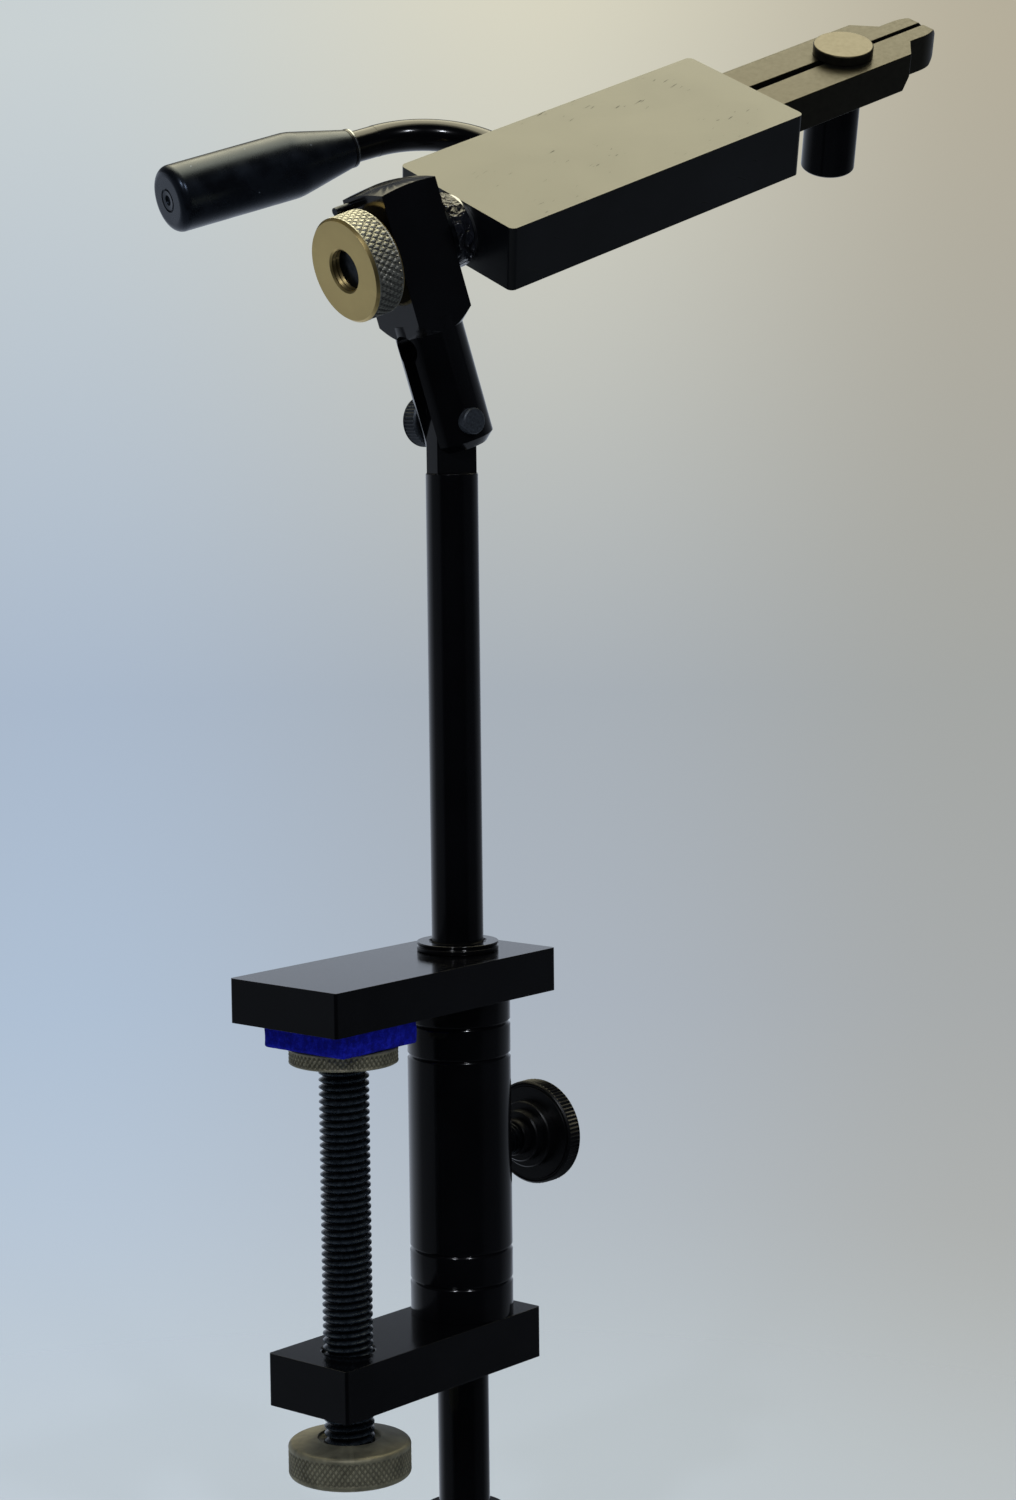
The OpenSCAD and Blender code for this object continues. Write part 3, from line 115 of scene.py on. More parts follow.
world = bpy.data.worlds.new("studio")
bpy.context.scene.world = world
world.use_nodes = True
tree = world.node_tree
tree.nodes.clear()
ray = add_node(tree, "TexCoord").outputs["Generated"]
height = add_node(tree, "SeparateXYZ", sources={0: ray}).outputs["Z"]
across = add_node(tree, "VectorMath", {"operation": "DOT_PRODUCT", 1: (0.646, -0.763, 0.0)}, {0: ray})
across = across.outputs["Value"]
ahead = add_node(tree, "VectorMath", {"operation": "DOT_PRODUCT", 1: (0.763, 0.646, 0.0)}, {0: ray})
ahead = ahead.outputs["Value"]
# The wall: one upright run of colours each for its left, its middle and its right
climb = add_node(tree, "MapRange", {1: -0.36, 2: 0.16}, {0: height})
left_wall = add_node(tree, "ValToRGB", sources={0: climb})
set_ramp(left_wall, (0.08, "#c1cdd9"), (0.34, "#afc0d4"), (0.52, "#aab9cc"), (0.9, "#c9d1d3"))
middle_wall = add_node(tree, "ValToRGB", sources={0: climb})
set_ramp(middle_wall, (0.08, "#bbc3c8"), (0.34, "#abb4bf"), (0.52, "#a8b0b8"), (0.92, "#d8d5c2"))
right_wall = add_node(tree, "ValToRGB", sources={0: climb})
set_ramp(right_wall, (0.08, "#b4b6b3"), (0.34, "#a7aaaa"), (0.52, "#a4a6a3"), (0.9, "#b5ae9b"))
soft = {"interpolation_type": "SMOOTHSTEP"}
to_middle = add_node(tree, "MapRange", {1: -0.15, 2: 0.02, **soft}, {0: across})
to_right = add_node(tree, "MapRange", {1: 0.0, 2: 0.16, **soft}, {0: across})
left_half = add_node(tree, "Mix", {"data_type": "RGBA"}, {0: to_middle, 6: left_wall, 7: middle_wall})
wall = add_node(tree, "Mix", {"data_type": "RGBA"}, {0: to_right, 6: left_half.outputs[2], 7: right_wall})
# The room: how bright its walls are, from behind the camera round to the wall ahead
round_room = add_node(tree, "MapRange", {1: -1.0, 2: 1.0}, {0: ahead})
room = add_node(tree, "ValToRGB", sources={0: round_room})
set_ramp(room, (0.16, 0.004), (0.24, 0.12), (0.55, 0.18), (0.88, 1.0))
right_dim = add_node(tree, "MapRange", {1: 0.1, 2: 0.6, 3: 1.0, 4: 0.3}, {0: across})
wall_top = add_node(tree, "MapRange", {1: 0.2, 2: 0.28, 3: 1.0, 4: 0.15, **soft}, {0: height})
side_light = add_node(tree, "Math", {"operation": "MULTIPLY"}, {0: room, 1: right_dim})
room_light = add_node(tree, "Math", {"operation": "MULTIPLY"}, {0: side_light, 1: wall_top})
overhead = add_node(tree, "VectorMath", {"operation": "DOT_PRODUCT", 1: (0.31, 0.21, 0.93)}, {0: ray})
overhead = overhead.outputs["Value"]
ceiling = add_node(tree, "MapRange", {1: 0.74, 2: 0.9, 3: 0.0, 4: 1.5, **soft}, {0: overhead})
light_path = add_node(tree, "LightPath").outputs
wall_shown = add_node(tree, "Background", {"Strength": 1.0}, {"Color": wall.outputs[2]})
wall_mirrored = add_node(tree, "Background", {"Color": linear("#c3ccda")}, {"Strength": room_light})
ceiling_mirrored = add_node(tree, "Background", {"Color": linear("#fff8d5")}, {"Strength": ceiling})
mirrored = add_node(tree, "AddShader", sources={0: wall_mirrored, 1: ceiling_mirrored})
soft_light = add_node(tree, "Background", {"Color": linear("#abb8c9"), "Strength": 0.6})
either = {0: light_path["Is Camera Ray"], 1: light_path["Is Transmission Ray"]}
seen = add_node(tree, "Math", {"operation": "MAXIMUM"}, either)
unseen = add_node(tree, "MixShader", sources={0: light_path["Is Glossy Ray"], 1: soft_light, 2: mirrored})
studio = add_node(tree, "MixShader", sources={0: seen, 1: unseen, 2: wall_shown})
add_node(tree, "OutputWorld", sources={0: studio})


# Studio: floor
# A round pale sheet of paper under the vise, which takes the shadow. It lies just below the lowest
# reach of the clamp screw, so no pose goes through it. The wall shows through it a little, and more
# towards its edge, so that no line shows where it meets the wall. Gloss looks past it.


# A new material with its node tree, its shader and each point's place on the piece in metres
def new_finish(name, settings):
    finish = bpy.data.materials.new(name)
    finish.use_nodes = True
    tree = finish.node_tree
    shader = tree.nodes["Principled BSDF"]
    for socket, value in settings.items():
        shader.inputs[socket].default_value = value
    point = add_node(tree, "TexCoord").outputs["Object"]
    return finish, tree, shader, point


# The clamp screw's travel and one millimetre of room
screw_reach = 0.0695
floor_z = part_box("clamp_knob")[0][2] - screw_reach
bm = bmesh.new()
bmesh.ops.create_circle(bm, cap_ends=True, segments=96, radius=0.75)
bmesh.ops.translate(bm, vec=(0.04, 0, floor_z), verts=bm.verts)
floor_mesh = bpy.data.meshes.new("studio_floor")
bm.to_mesh(floor_mesh)
bm.free()
floor = bpy.data.objects.new("studio_floor", floor_mesh)
bpy.context.collection.objects.link(floor)
paper, tree, shader, point = new_finish("pale_paper", {"Base Color": linear("#e9f2fd"), "Roughness": 0.9})
spread = add_node(tree, "VectorMath", {"operation": "LENGTH"}, {0: point}).outputs["Value"]
fade = add_node(tree, "MapRange", {1: 0.1, 2: 0.6, 3: 0.25, 4: 1.0, **soft}, {0: spread})
glossy = add_node(tree, "LightPath").outputs["Is Glossy Ray"]
gone = add_node(tree, "Math", {"operation": "MAXIMUM"}, {0: fade, 1: glossy})
clear = add_node(tree, "BsdfTransparent")
sheet = add_node(tree, "MixShader", sources={0: gone, 1: shader, 2: clear})
feed(tree.nodes["Material Output"], {"Surface": sheet})
floor_mesh.materials.append(paper)


# Studio: lamps
# One wide warm lamp hangs over the head and lights the flat tops. Two small lamps stand behind
# the camera, one each side and high up, and draw the bright dots on the rounded black edges.
def add_lamp(name, place, aim, width, power, colour):
    lamp_data = bpy.data.lights.new(name, "AREA")
    lamp_data.shape = "RECTANGLE"
    lamp_data.size = width
    lamp_data.size_y = width
    lamp_data.energy = power
    lamp_data.color = linear(colour)[:3]
    lamp = bpy.data.objects.new(name, lamp_data)
    turn = (Vector(place) - Vector(aim)).to_track_quat("Z", "Y").to_matrix().to_4x4()
    lamp.matrix_world = Matrix.Translation(place) @ turn
    bpy.context.collection.objects.link(lamp)


add_lamp("overhead_lamp", (0.46, 0.26, 1.35), (0.07, 0.0, 0.18), 1.1, 9.0, "#fff6d2")
add_lamp("left_lamp", (-1.16, -0.53, 1.0), (0.03, 0.0, 0.05), 0.09, 3.2, "#f2f6ff")
add_lamp("right_lamp", (-0.57, -1.15, 1.0), (0.03, 0.0, 0.05), 0.09, 3.2, "#f2f6ff")


# Upper clamp bar
# A flat bar of aluminium, sawn, milled and drilled, with its edges rounded by 0.8 mm.
# Black hard anodised and polished: the flat top mirrors the wall, and the sides stay nearly black.
gloss_black, tree, shader, point = new_finish(
    "polished_black_anodised_aluminium", {"IOR": 1.5, "Specular IOR Level": 0.5}
)
# Dye in the oxide layer varies a little over centimetres
cloud = add_node(tree, "TexNoise", {"Scale": 60.0, "Detail": 4.0}, {"Vector": point})
dye = add_node(tree, "ValToRGB", sources={0: cloud})
set_ramp(dye, (0.3, "#050506"), (0.7, "#09090b"))
# Fine handling marks, drawn at 0.4 mm so that they show
rub = add_node(tree, "TexNoise", {"Scale": 2500.0, "Detail": 3.0}, {"Vector": point})
sheen = add_node(tree, "MapRange", {3: 0.1, 4: 0.2}, {0: rub})
dents = add_node(tree, "Bump", {"Strength": 0.02, "Distance": 0.0001}, {"Height": rub})
feed(shader, {"Base Color": dye, "Roughness": sheen, "Normal": dents})


# Puts a finished mesh in the place of its CAD node, on the body that moves it. Edges sharper than
# so many degrees stay sharp, and normals weighted by area keep flats flat beside rounded edges
def show(name, bm, material, body, node, sharp=32):
    mesh = bpy.data.meshes.new(name)
    bm.to_mesh(mesh)
    bm.free()
    mesh.shade_smooth()
    mesh.set_sharp_from_angle(angle=math.radians(sharp))
    mesh.materials.append(material)
    piece = bpy.data.objects.new(name, mesh)
    bpy.context.collection.objects.link(piece)
    weights = piece.modifiers.new("weights", "WEIGHTED_NORMAL")
    weights.weight = 80
    weights.keep_sharp = True
    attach(piece, body)
    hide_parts(node)
    return piece


# A copy of a CAD node's mesh with each edge sharper than the corner, in degrees, rounded off
def broken_edges(node, width, segments, corner):
    same_place = 2e-6
    same_plane = math.radians(0.5)
    sharpest_left = math.radians(corner)
    bm = bmesh.new()
    bm.from_mesh(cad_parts[node].data)
    bmesh.ops.remove_doubles(bm, verts=bm.verts, dist=same_place)
    bmesh.ops.dissolve_limit(bm, angle_limit=same_plane, verts=bm.verts, edges=bm.edges)
    edges = [e for e in bm.edges if len(e.link_faces) == 2 and e.calc_face_angle(0) > sharpest_left]
    bmesh.ops.bevel(
        bm, geom=edges, offset=width, offset_type="OFFSET", affect="EDGES",
        segments=segments, profile=0.5, material=-1, clamp_overlap=True,
    )
    return bm


bar_edge = 0.00078
bar = broken_edges("upper_clamp_bar", width=bar_edge, segments=4, corner=60)
show("upper_bar", bar, gloss_black, "clamp", "upper_clamp_bar")


# Lower clamp bar
# The same stock as the upper bar, tapped for the clamp screw, with a countersunk thread mouth.
# Fixed to the column's lower spigot with a set screw.
bar = broken_edges("lower_clamp_bar", width=bar_edge, segments=4, corner=60)
show("lower_bar", bar, gloss_black, "clamp", "lower_clamp_bar")


# Column
# Round aluminium bar, turned on a lathe, with two pairs of thin grooves and a shouldered spigot
# at each end. Anodised and polished with the bars.
column = broken_edges("clamp_column", width=0.00015, segments=1, corner=50)
show("column", column, gloss_black, "clamp", "clamp_column")


# Set screws in the bars' ends
# Small socket screws of blackened steel, sunk in the end faces.
# Oil blacking leaves a dull grey-black with brighter rubbed spots.


# Gives a finish to a piece that is shown in its CAD shape
def dress(node, material):
    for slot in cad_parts[node].material_slots:
        slot.material = material


blackened_steel, tree, shader, point = new_finish("oil_blackened_steel", {"Metallic": 1.0})
blotch = add_node(tree, "TexNoise", {"Scale": 700.0, "Detail": 5.0}, {"Vector": point})
blacking = add_node(tree, "ValToRGB", sources={0: blotch})
set_ramp(blacking, (0.35, "#26292d"), (0.7, "#464a50"))
shine = add_node(tree, "MapRange", {3: 0.25, 4: 0.42}, {0: blotch})
feed(shader, {"Base Color": blacking, "Roughness": shine})
dress("bar_set_screws", blackened_steel)


# Bench pad
# A square of thick royal blue wool felt, cut with a knife and glued under the upper bar.
# The cut edges are a little fuzzy and the corners soft.
wool_felt, tree, shader, point = new_finish("royal_blue_wool_felt", {
    "Roughness": 0.95,
    "Sheen Weight": 0.2,
    "Sheen Roughness": 0.4,
    "Sheen Tint": linear("#1c2ee0"),
    "Specular IOR Level": 0.15,
})
# Matted fibres, 0.3 mm from one to the next, in loose clumps of 1 to 2 mm
fibres = add_node(tree, "TexNoise", {"Scale": 3300.0, "Detail": 6.0, "Distortion": 0.8}, {"Vector": point})
clumps = add_node(tree, "TexNoise", {"Scale": 600.0, "Detail": 2.0}, {"Vector": point})
matted = add_node(tree, "Math", {"operation": "ADD"}, {0: fibres, 1: clumps})
depth = add_node(tree, "Math", {"operation": "MULTIPLY", 1: 0.85}, {0: matted})
wool = add_node(tree, "ValToRGB", sources={0: depth})
set_ramp(wool, (0.68, "#0a0e74"), (0.85, "#0d1394"), (1.0, "#1a23b0"))
fuzz = add_node(tree, "Bump", {"Strength": 0.6, "Distance": 0.0003}, {"Height": matted})
feed(shader, {"Base Color": wool, "Normal": fuzz})

pad_low, pad_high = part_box("bench_pad")
pad_size = [pad_high[i] - pad_low[i] for i in range(3)]
pad_middle = [(pad_high[i] + pad_low[i]) / 2 for i in range(3)]
soft_corner = 0.0007
longest_left_whole = 0.003
near_the_side = 0.93
bm = bmesh.new()
bmesh.ops.create_cube(bm, size=1.0)
bmesh.ops.scale(bm, vec=pad_size, verts=bm.verts)
bmesh.ops.translate(bm, vec=pad_middle, verts=bm.verts)
bmesh.ops.bevel(
    bm, geom=bm.edges[:], offset=soft_corner, offset_type="OFFSET", affect="EDGES",
    segments=3, profile=0.5, material=-1,
)
long_edges = [e for e in bm.edges if e.calc_length() > longest_left_whole]
bmesh.ops.subdivide_edges(bm, edges=long_edges, cuts=22, use_grid_fill=True)
for v in bm.verts:
    # The knife wanders by a few tenths of a millimetre along each cut side
    long_waves = 0.00016 * math.sin(v.co.x * 900 + v.co.z * 500)
    short_waves = 0.0001 * math.sin(v.co.y * 2100 + v.co.x * 1300)
    for i in (0, 1):
        side = (v.co[i] - pad_middle[i]) / pad_size[i] * 2
        if abs(side) > near_the_side:
            v.co[i] -= math.copysign(abs(long_waves + short_waves) + 0.00002, side)
pad = show("felt_pad", bm, wool_felt, "clamp", "bench_pad", sharp=60)


# Pressure disc
# A thick brass disc with a diamond-knurled edge, turned from round bar.
# It is left bare, so the brass has gone dull grey-brown, darkest in the knurl.
aged_brass, tree, shader, point = new_finish("aged_turned_brass", {"Metallic": 0.6})
stain = add_node(tree, "TexNoise", {"Scale": 260.0, "Detail": 5.0, "Distortion": 0.4}, {"Vector": point})
patina = add_node(tree, "ValToRGB", sources={0: stain})
set_ramp(patina, (0.3, "#88826b"), (0.55, "#a49d82"), (0.8, "#b7b093"))
# Dirt and oxide stay in the hollows of the knurl, and its tips are rubbed bright
hollow = add_node(tree, "NewGeometry").outputs["Pointiness"]
grime = add_node(tree, "MapRange", {1: 0.44, 2: 0.54, 3: 0.3, 4: 1.0}, {0: hollow})
multiply = {"data_type": "RGBA", "blend_type": "MULTIPLY", 0: 1.0}
dirty = add_node(tree, "Mix", multiply, {6: patina, 7: grime})
dull = add_node(tree, "MapRange", {3: 0.42, 4: 0.6}, {0: stain})
turning = add_node(tree, "Bump", {"Strength": 0.15, "Distance": 0.00005}, {"Height": stain})
feed(shader, {"Base Color": dirty.outputs[2], "Roughness": dull, "Normal": turning})


# Draws one more row of faces out of an open loop of edges
def next_row(bm, edges):
    made = bmesh.ops.extrude_edge_only(bm, edges=edges)["geom"]
    edges = [g for g in made if isinstance(g, bmesh.types.BMEdge)]
    verts = [g for g in made if isinstance(g, bmesh.types.BMVert)]
    return edges, verts


# A round rim with two crossing sets of grooves rolled in, open at both ends
def diamond_knurled(radius, low, high, pitch, depth, sharpness=2):
    fine = 6
    around = int(round(2 * math.pi * radius / pitch))
    rows = max(2, int(round((high - low) / pitch)) * fine)
    bm = bmesh.new()
    bmesh.ops.create_circle(bm, cap_ends=False, segments=around * fine, radius=radius)
    first = bm.edges[:]
    last = first
    bmesh.ops.translate(bm, vec=(0, 0, low), verts=bm.verts)
    for _ in range(rows):
        last, verts = next_row(bm, last)
        bmesh.ops.translate(bm, vec=(0, 0, (high - low) / rows), verts=verts)
    for v in bm.verts:
        turn = math.atan2(v.co.y, v.co.x) / (2 * math.pi) * around
        slant = (v.co.z - low) / pitch * 0.75
        left = abs(((turn + slant) % 1.0) * 2 - 1)
        right = abs(((turn - slant) % 1.0) * 2 - 1)
        run_out = min(1.0, (v.co.z - low) / (pitch * 0.3), (high - v.co.z) / (pitch * 0.3))
        groove = depth * max(left, right) ** sharpness * max(0.0, run_out)
        scale = (radius - groove) / radius
        v.co.x *= scale
        v.co.y *= scale
    return bm, first, last


# Carries an open loop on through rings given by radius and height
def cap_rings(bm, edges, rings):
    for radius, height in rings:
        edges, verts = next_row(bm, edges)
        for v in verts:
            turn = math.atan2(v.co.y, v.co.x)
            v.co = (math.cos(turn) * radius, math.sin(turn) * radius, height)
    return edges


# Fills the loops that are still open, joins what meets and turns the faces outward
def close_piece(bm, *loops):
    if loops:
        bmesh.ops.holes_fill(bm, edges=[e for loop in loops for e in loop], sides=0)
    bmesh.ops.remove_doubles(bm, verts=bm.verts, dist=1e-7)
    bmesh.ops.recalc_face_normals(bm, faces=bm.faces)
    return bm


disc_r = 0.013
disc_bore = 0.00406
disc_seat = 0.0063
disc_low, disc_high = (corner[2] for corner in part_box("pressure_disc"))
seat_floor = disc_high - 0.0016
bm, low_edge, high_edge = diamond_knurled(
    disc_r, disc_low + 0.0004, disc_high - 0.0004, pitch=0.0013, depth=0.0004
)
cap_rings(bm, low_edge, [
    (disc_r - 0.00005, disc_low + 0.0002),
    (disc_r - 0.0004, disc_low),
    (disc_bore, disc_low),
    (disc_bore, seat_floor),
])
cap_rings(bm, high_edge, [
    (disc_r - 0.00005, disc_high - 0.0002),
    (disc_r - 0.0003, disc_high),
    (disc_seat, disc_high),
    (disc_seat, seat_floor),
    (disc_bore, seat_floor),
])
show("disc", close_piece(bm), aged_brass, "pressure_disc", "pressure_disc")


# Clamp screw
# Black steel screw of 12 mm with 1.75 mm pitch, cut with a die. A plain neck carries the disc.
# The thread is a real right-hand helix: its zigzag outline is spun once while it climbs one pitch.
worn_thread, tree, shader, point = new_finish("worn_black_steel_thread", {"Metallic": 0.7})
rust = add_node(tree, "TexNoise", {"Scale": 900.0, "Detail": 5.0}, {"Vector": point})
oiled = add_node(tree, "ValToRGB", sources={0: rust})
set_ramp(oiled, (0.35, "#363d44"), (0.7, "#5a636c"))
# The crests are rubbed grey by the tapped hole, and oil keeps the roots black
ridge = add_node(tree, "NewGeometry").outputs["Pointiness"]
rubbed = add_node(tree, "MapRange", {1: 0.47, 2: 0.56, 3: 0.06, 4: 1.0}, {0: ridge})
thread_tone = add_node(tree, "Mix", multiply, {6: oiled, 7: rubbed})
grease = add_node(tree, "MapRange", {3: 0.2, 4: 0.34}, {0: rust})
feed(shader, {"Base Color": thread_tone.outputs[2], "Roughness": grease})


# A metric thread is 0.54 pitches deep. Here its crest and its root are each flat over 0.15 pitches
def helical_screw(radius, pitch, low, high, steps):
    root = radius - 0.54 * pitch
    crest = 0.15 * pitch
    flank = (pitch - 2 * crest) / 2
    bm = bmesh.new()
    line = []
    z = low - 2 * pitch
    while z < high + pitch:
        line += [(root, z), (root, z + crest), (radius, z + crest + flank), (radius, z + 2 * crest + flank)]
        z += pitch
    line.append((root, z))
    verts = [bm.verts.new((r, 0, z)) for r, z in line]
    edges = [bm.edges.new((verts[i], verts[i + 1])) for i in range(len(verts) - 1)]
    bmesh.ops.spin(
        bm, geom=verts + edges, cent=(0, 0, 0), axis=(0, 0, 1), dvec=(0, 0, pitch / steps),
        angle=2 * math.pi, steps=steps, use_merge=False,
    )
    bmesh.ops.remove_doubles(bm, verts=bm.verts, dist=2e-6)
    for end, normal in ((low, -1), (high, 1)):
        bmesh.ops.bisect_plane(
            bm, geom=bm.verts[:] + bm.edges[:] + bm.faces[:], plane_co=(0, 0, end),
            plane_no=(0, 0, normal), clear_outer=True,
        )
    bmesh.ops.holes_fill(bm, edges=[e for e in bm.edges if e.is_boundary], sides=0)
    bmesh.ops.recalc_face_normals(bm, faces=bm.faces)
    return bm


# A closed round piece spun about its own Z from its corners' radii and heights
def turned(corners, steps):
    bm = bmesh.new()
    ring = [bm.verts.new((r, 0, z)) for r, z in corners]
    edges = [bm.edges.new((ring[i], ring[(i + 1) % len(ring)])) for i in range(len(ring))]
    bmesh.ops.spin(
        bm, geom=ring + edges, cent=(0, 0, 0), axis=(0, 0, 1), dvec=(0, 0, 0),
        angle=2 * math.pi, steps=steps, use_merge=True,
    )
    bmesh.ops.remove_doubles(bm, verts=bm.verts, dist=1e-7)
    bmesh.ops.dissolve_degenerate(bm, edges=bm.edges, dist=1e-8)
    bmesh.ops.recalc_face_normals(bm, faces=bm.faces)
    return bm


screw_low, screw_high = (corner[2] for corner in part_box("clamp_screw"))
screw_top = disc_low - 0.00012
bm = helical_screw(radius=0.006, pitch=0.00175, low=screw_low + 0.0001, high=screw_top, steps=40)
neck_r = 0.004
neck_start = screw_top - 0.002
neck_corners = [(0, neck_start), (neck_r, neck_start), (neck_r, screw_high), (0, screw_high)]
neck = turned(neck_corners, steps=72)
neck_mesh = bpy.data.meshes.new("neck")
neck.to_mesh(neck_mesh)
neck.free()
bm.from_mesh(neck_mesh)
bpy.data.meshes.remove(neck_mesh)
show("main_screw", bm, worn_thread, "clamp_screw", "clamp_screw")
dress("disc_retaining_ring", blackened_steel)


# Clamp knob
# Brass knob under the clamp screw, diamond-knurled round its rim, with a low cone on top whose
# shoulder is well rounded, and a recess where the screw enters. A screw from below holds it.
knob_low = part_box("clamp_knob")[0][2]
knob_r, _, knob_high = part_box("clamp_knob")[1]
rim_low = knob_low + 0.0012
rim_high = knob_high - 0.0021
bm, bottom_edge, top_edge = diamond_knurled(knob_r, rim_low, rim_high, pitch=0.0014, depth=0.0003)
shoulder = []
for angle in range(12, 85, 12):
    turn = math.radians(angle)
    shoulder.append((knob_r - 0.0013 * (1 - math.cos(turn)), rim_high + 0.0012 * math.sin(turn)))
cone = [
    (0.0105, knob_high - 0.0003),
    (0.0077, knob_high),
    (0.0074, knob_high - 0.0005),
    (0.00612, knob_high - 0.0009),
    (0.00612, knob_high - 0.006),
]
top_edge = cap_rings(bm, top_edge, shoulder + cone)
foot = []
for angle in range(12, 91, 13):
    turn = math.radians(angle)
    foot.append((knob_r - 0.0012 * (1 - math.cos(turn)), rim_low - 0.0012 * math.sin(turn)))
recess = [
    (knob_r - 0.0014, knob_low),
    (0.0045, knob_low),
    (0.0045, knob_low + 0.0014),
    (0.0025, knob_low + 0.0014),
    (0.0025, knob_low + 0.003),
]
bottom_edge = cap_rings(bm, bottom_edge, foot + recess)
show("screw_knob", close_piece(bm, top_edge, bottom_edge), aged_brass, "clamp_screw", "clamp_knob")
dress("knob_screw", blackened_steel)


# Stem lock
# A black thumb screw from the side: threaded steel, a brass shoe at its tip and a broad thin
# aluminium head with fine straight teeth and a hub turned in three steps.
along_x = Matrix.Rotation(math.radians(90), 4, "Y")
lock_low, lock_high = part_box("lock_screw")
lock_z = (lock_low[2] + lock_high[2]) / 2
lock_long = lock_high[0] - lock_low[0]
bm = helical_screw(radius=0.004, pitch=0.00125, low=0.0, high=lock_long, steps=32)
place = Matrix.Translation((lock_low[0], 0, lock_z)) @ along_x
bmesh.ops.transform(bm, matrix=place, verts=bm.verts)
show("thumb_screw", bm, blackened_steel, "lock_screw", "lock_screw")

turned_black, tree, shader, point = new_finish(
    "finely_turned_black_anodised_aluminium", {"Base Color": linear("#070708")}
)
# The lathe left rings 0.5 mm apart round the screw's line
centred = add_node(tree, "Mapping", {"Location": (0.0, 0.0, -lock_z)}, {"Vector": point})
lathe = {"wave_type": "RINGS", "rings_direction": "X", "Scale": 628.0}
rings = add_node(tree, "TexWave", lathe, {"Vector": centred})
worn_film = add_node(tree, "TexNoise", {"Scale": 400.0, "Detail": 4.0}, {"Vector": point})
film = add_node(tree, "MapRange", {3: 0.24, 4: 0.36}, {0: worn_film})
cut = add_node(tree, "Bump", {"Strength": 0.2, "Distance": 0.00005}, {"Height": rings.outputs["Fac"]})
feed(shader, {"Roughness": film, "Normal": cut})


# Rings of a round piece along its own Z, each given by its radius, its height and its teeth's depth
def toothed_rings(rings, teeth):
    bm = bmesh.new()
    bmesh.ops.create_circle(bm, cap_ends=False, segments=teeth * 2, radius=1.0)
    edges = bm.edges[:]
    verts = bm.verts[:]
    for number, (radius, height, depth) in enumerate(rings):
        if number:
            edges, verts = next_row(bm, edges)
        for v in verts:
            turn = math.atan2(v.co.y, v.co.x)
            half_tooth = round(turn / (2 * math.pi) * teeth * 2) % 2
            reach = radius - depth * (half_tooth == 0)
            v.co = (math.cos(turn) * reach, math.sin(turn) * reach, height)
    return bm, edges


face_low, face_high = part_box("lock_knob")
# The hub's length, the whole knob's and its radius
hub = 0.0072
back = face_high[0] - face_low[0]
r = face_high[1]
bm, face_edge = toothed_rings([
    (0.004, 0, 0), (0.0044, 0, 0), (0.0046, 0.0002, 0), (0.0046, 0.0024, 0),
    (0.0062, 0.0024, 0), (0.0065, 0.0027, 0), (0.0065, 0.0048, 0),
    (0.0081, 0.0048, 0), (0.0084, 0.0051, 0), (0.0084, hub, 0),
    (0.0117, hub, 0), (0.0119, hub + 0.0004, 0), (0.0122, hub + 0.0004, 0),
    (r - 0.0005, hub, 0), (r - 0.0001, hub + 0.0004, 0), (r, hub + 0.0006, 0.0004),
    (r, back - 0.0006, 0.0004), (r - 0.0001, back - 0.0004, 0), (r - 0.0006, back, 0),
    (0.0095, back, 0), (0.009, back - 0.0004, 0), (0.001, back - 0.0004, 0),
], teeth=80)
place = Matrix.Translation((face_low[0], 0, lock_z)) @ along_x
bmesh.ops.transform(bm, matrix=place, verts=bm.verts)
show("thumb_knob", close_piece(bm, face_edge), turned_black, "lock_screw", "lock_knob")
dress("lock_shoe", aged_brass)


# Stem bushes
# Two plain bearing bushes of oiled bronze in the column's ends. They turn with the stem, which
# slides in them. The head's shaft and the lever turn in smaller ones. Little of any of them shows.
bearing_bronze, tree, shader, point = new_finish(
    "oiled_bearing_bronze", {"Metallic": 1.0, "Roughness": 0.38}
)
pores = add_node(tree, "TexVoronoi", {"Scale": 2500.0}, {"Vector": point})
bronze = add_node(tree, "ValToRGB", sources={0: pores})
set_ramp(bronze, (0.0, "#5a3f1c"), (0.35, "#a67b3c"))
feed(shader, {"Base Color": bronze})
for node in ("upper_stem_bush", "lower_stem_bush", "rear_shaft_bush", "front_shaft_bush", "lever_bush"):
    dress(node, bearing_bronze)


# Stem
# Half-inch round bar with a flat tongue milled at its top, in the clamp's polished black.
# The edge at the shoulder is rounded and catches both small lamps.
show("post", broken_edges("stem", width=0.0003, segments=3, corner=40), gloss_black, "stem", "stem")


# Stem collars
# Two black collars with a shallow groove round the rim and a countersunk bore. The thin upper one
# is pressed on the stem, and two small set screws hold the thicker lower one.
for name in ("upper", "lower"):
    node = name + "_stem_collar"
    collar = broken_edges(node, width=0.0003, segments=3, corner=40)
    show(name + "_collar", collar, gloss_black, "stem", node)
dress("collar_set_screws", blackened_steel)


# Knuckle block
# One piece of round bar with flats milled round its head and a low crown. Its leg is slotted to
# straddle the stem's tongue. It is black like the clamp, and its small chamfers catch the lamps.
block = broken_edges("knuckle_block", width=0.0002, segments=2, corner=25)
show("knuckle", block, gloss_black, "knuckle", "knuckle_block")


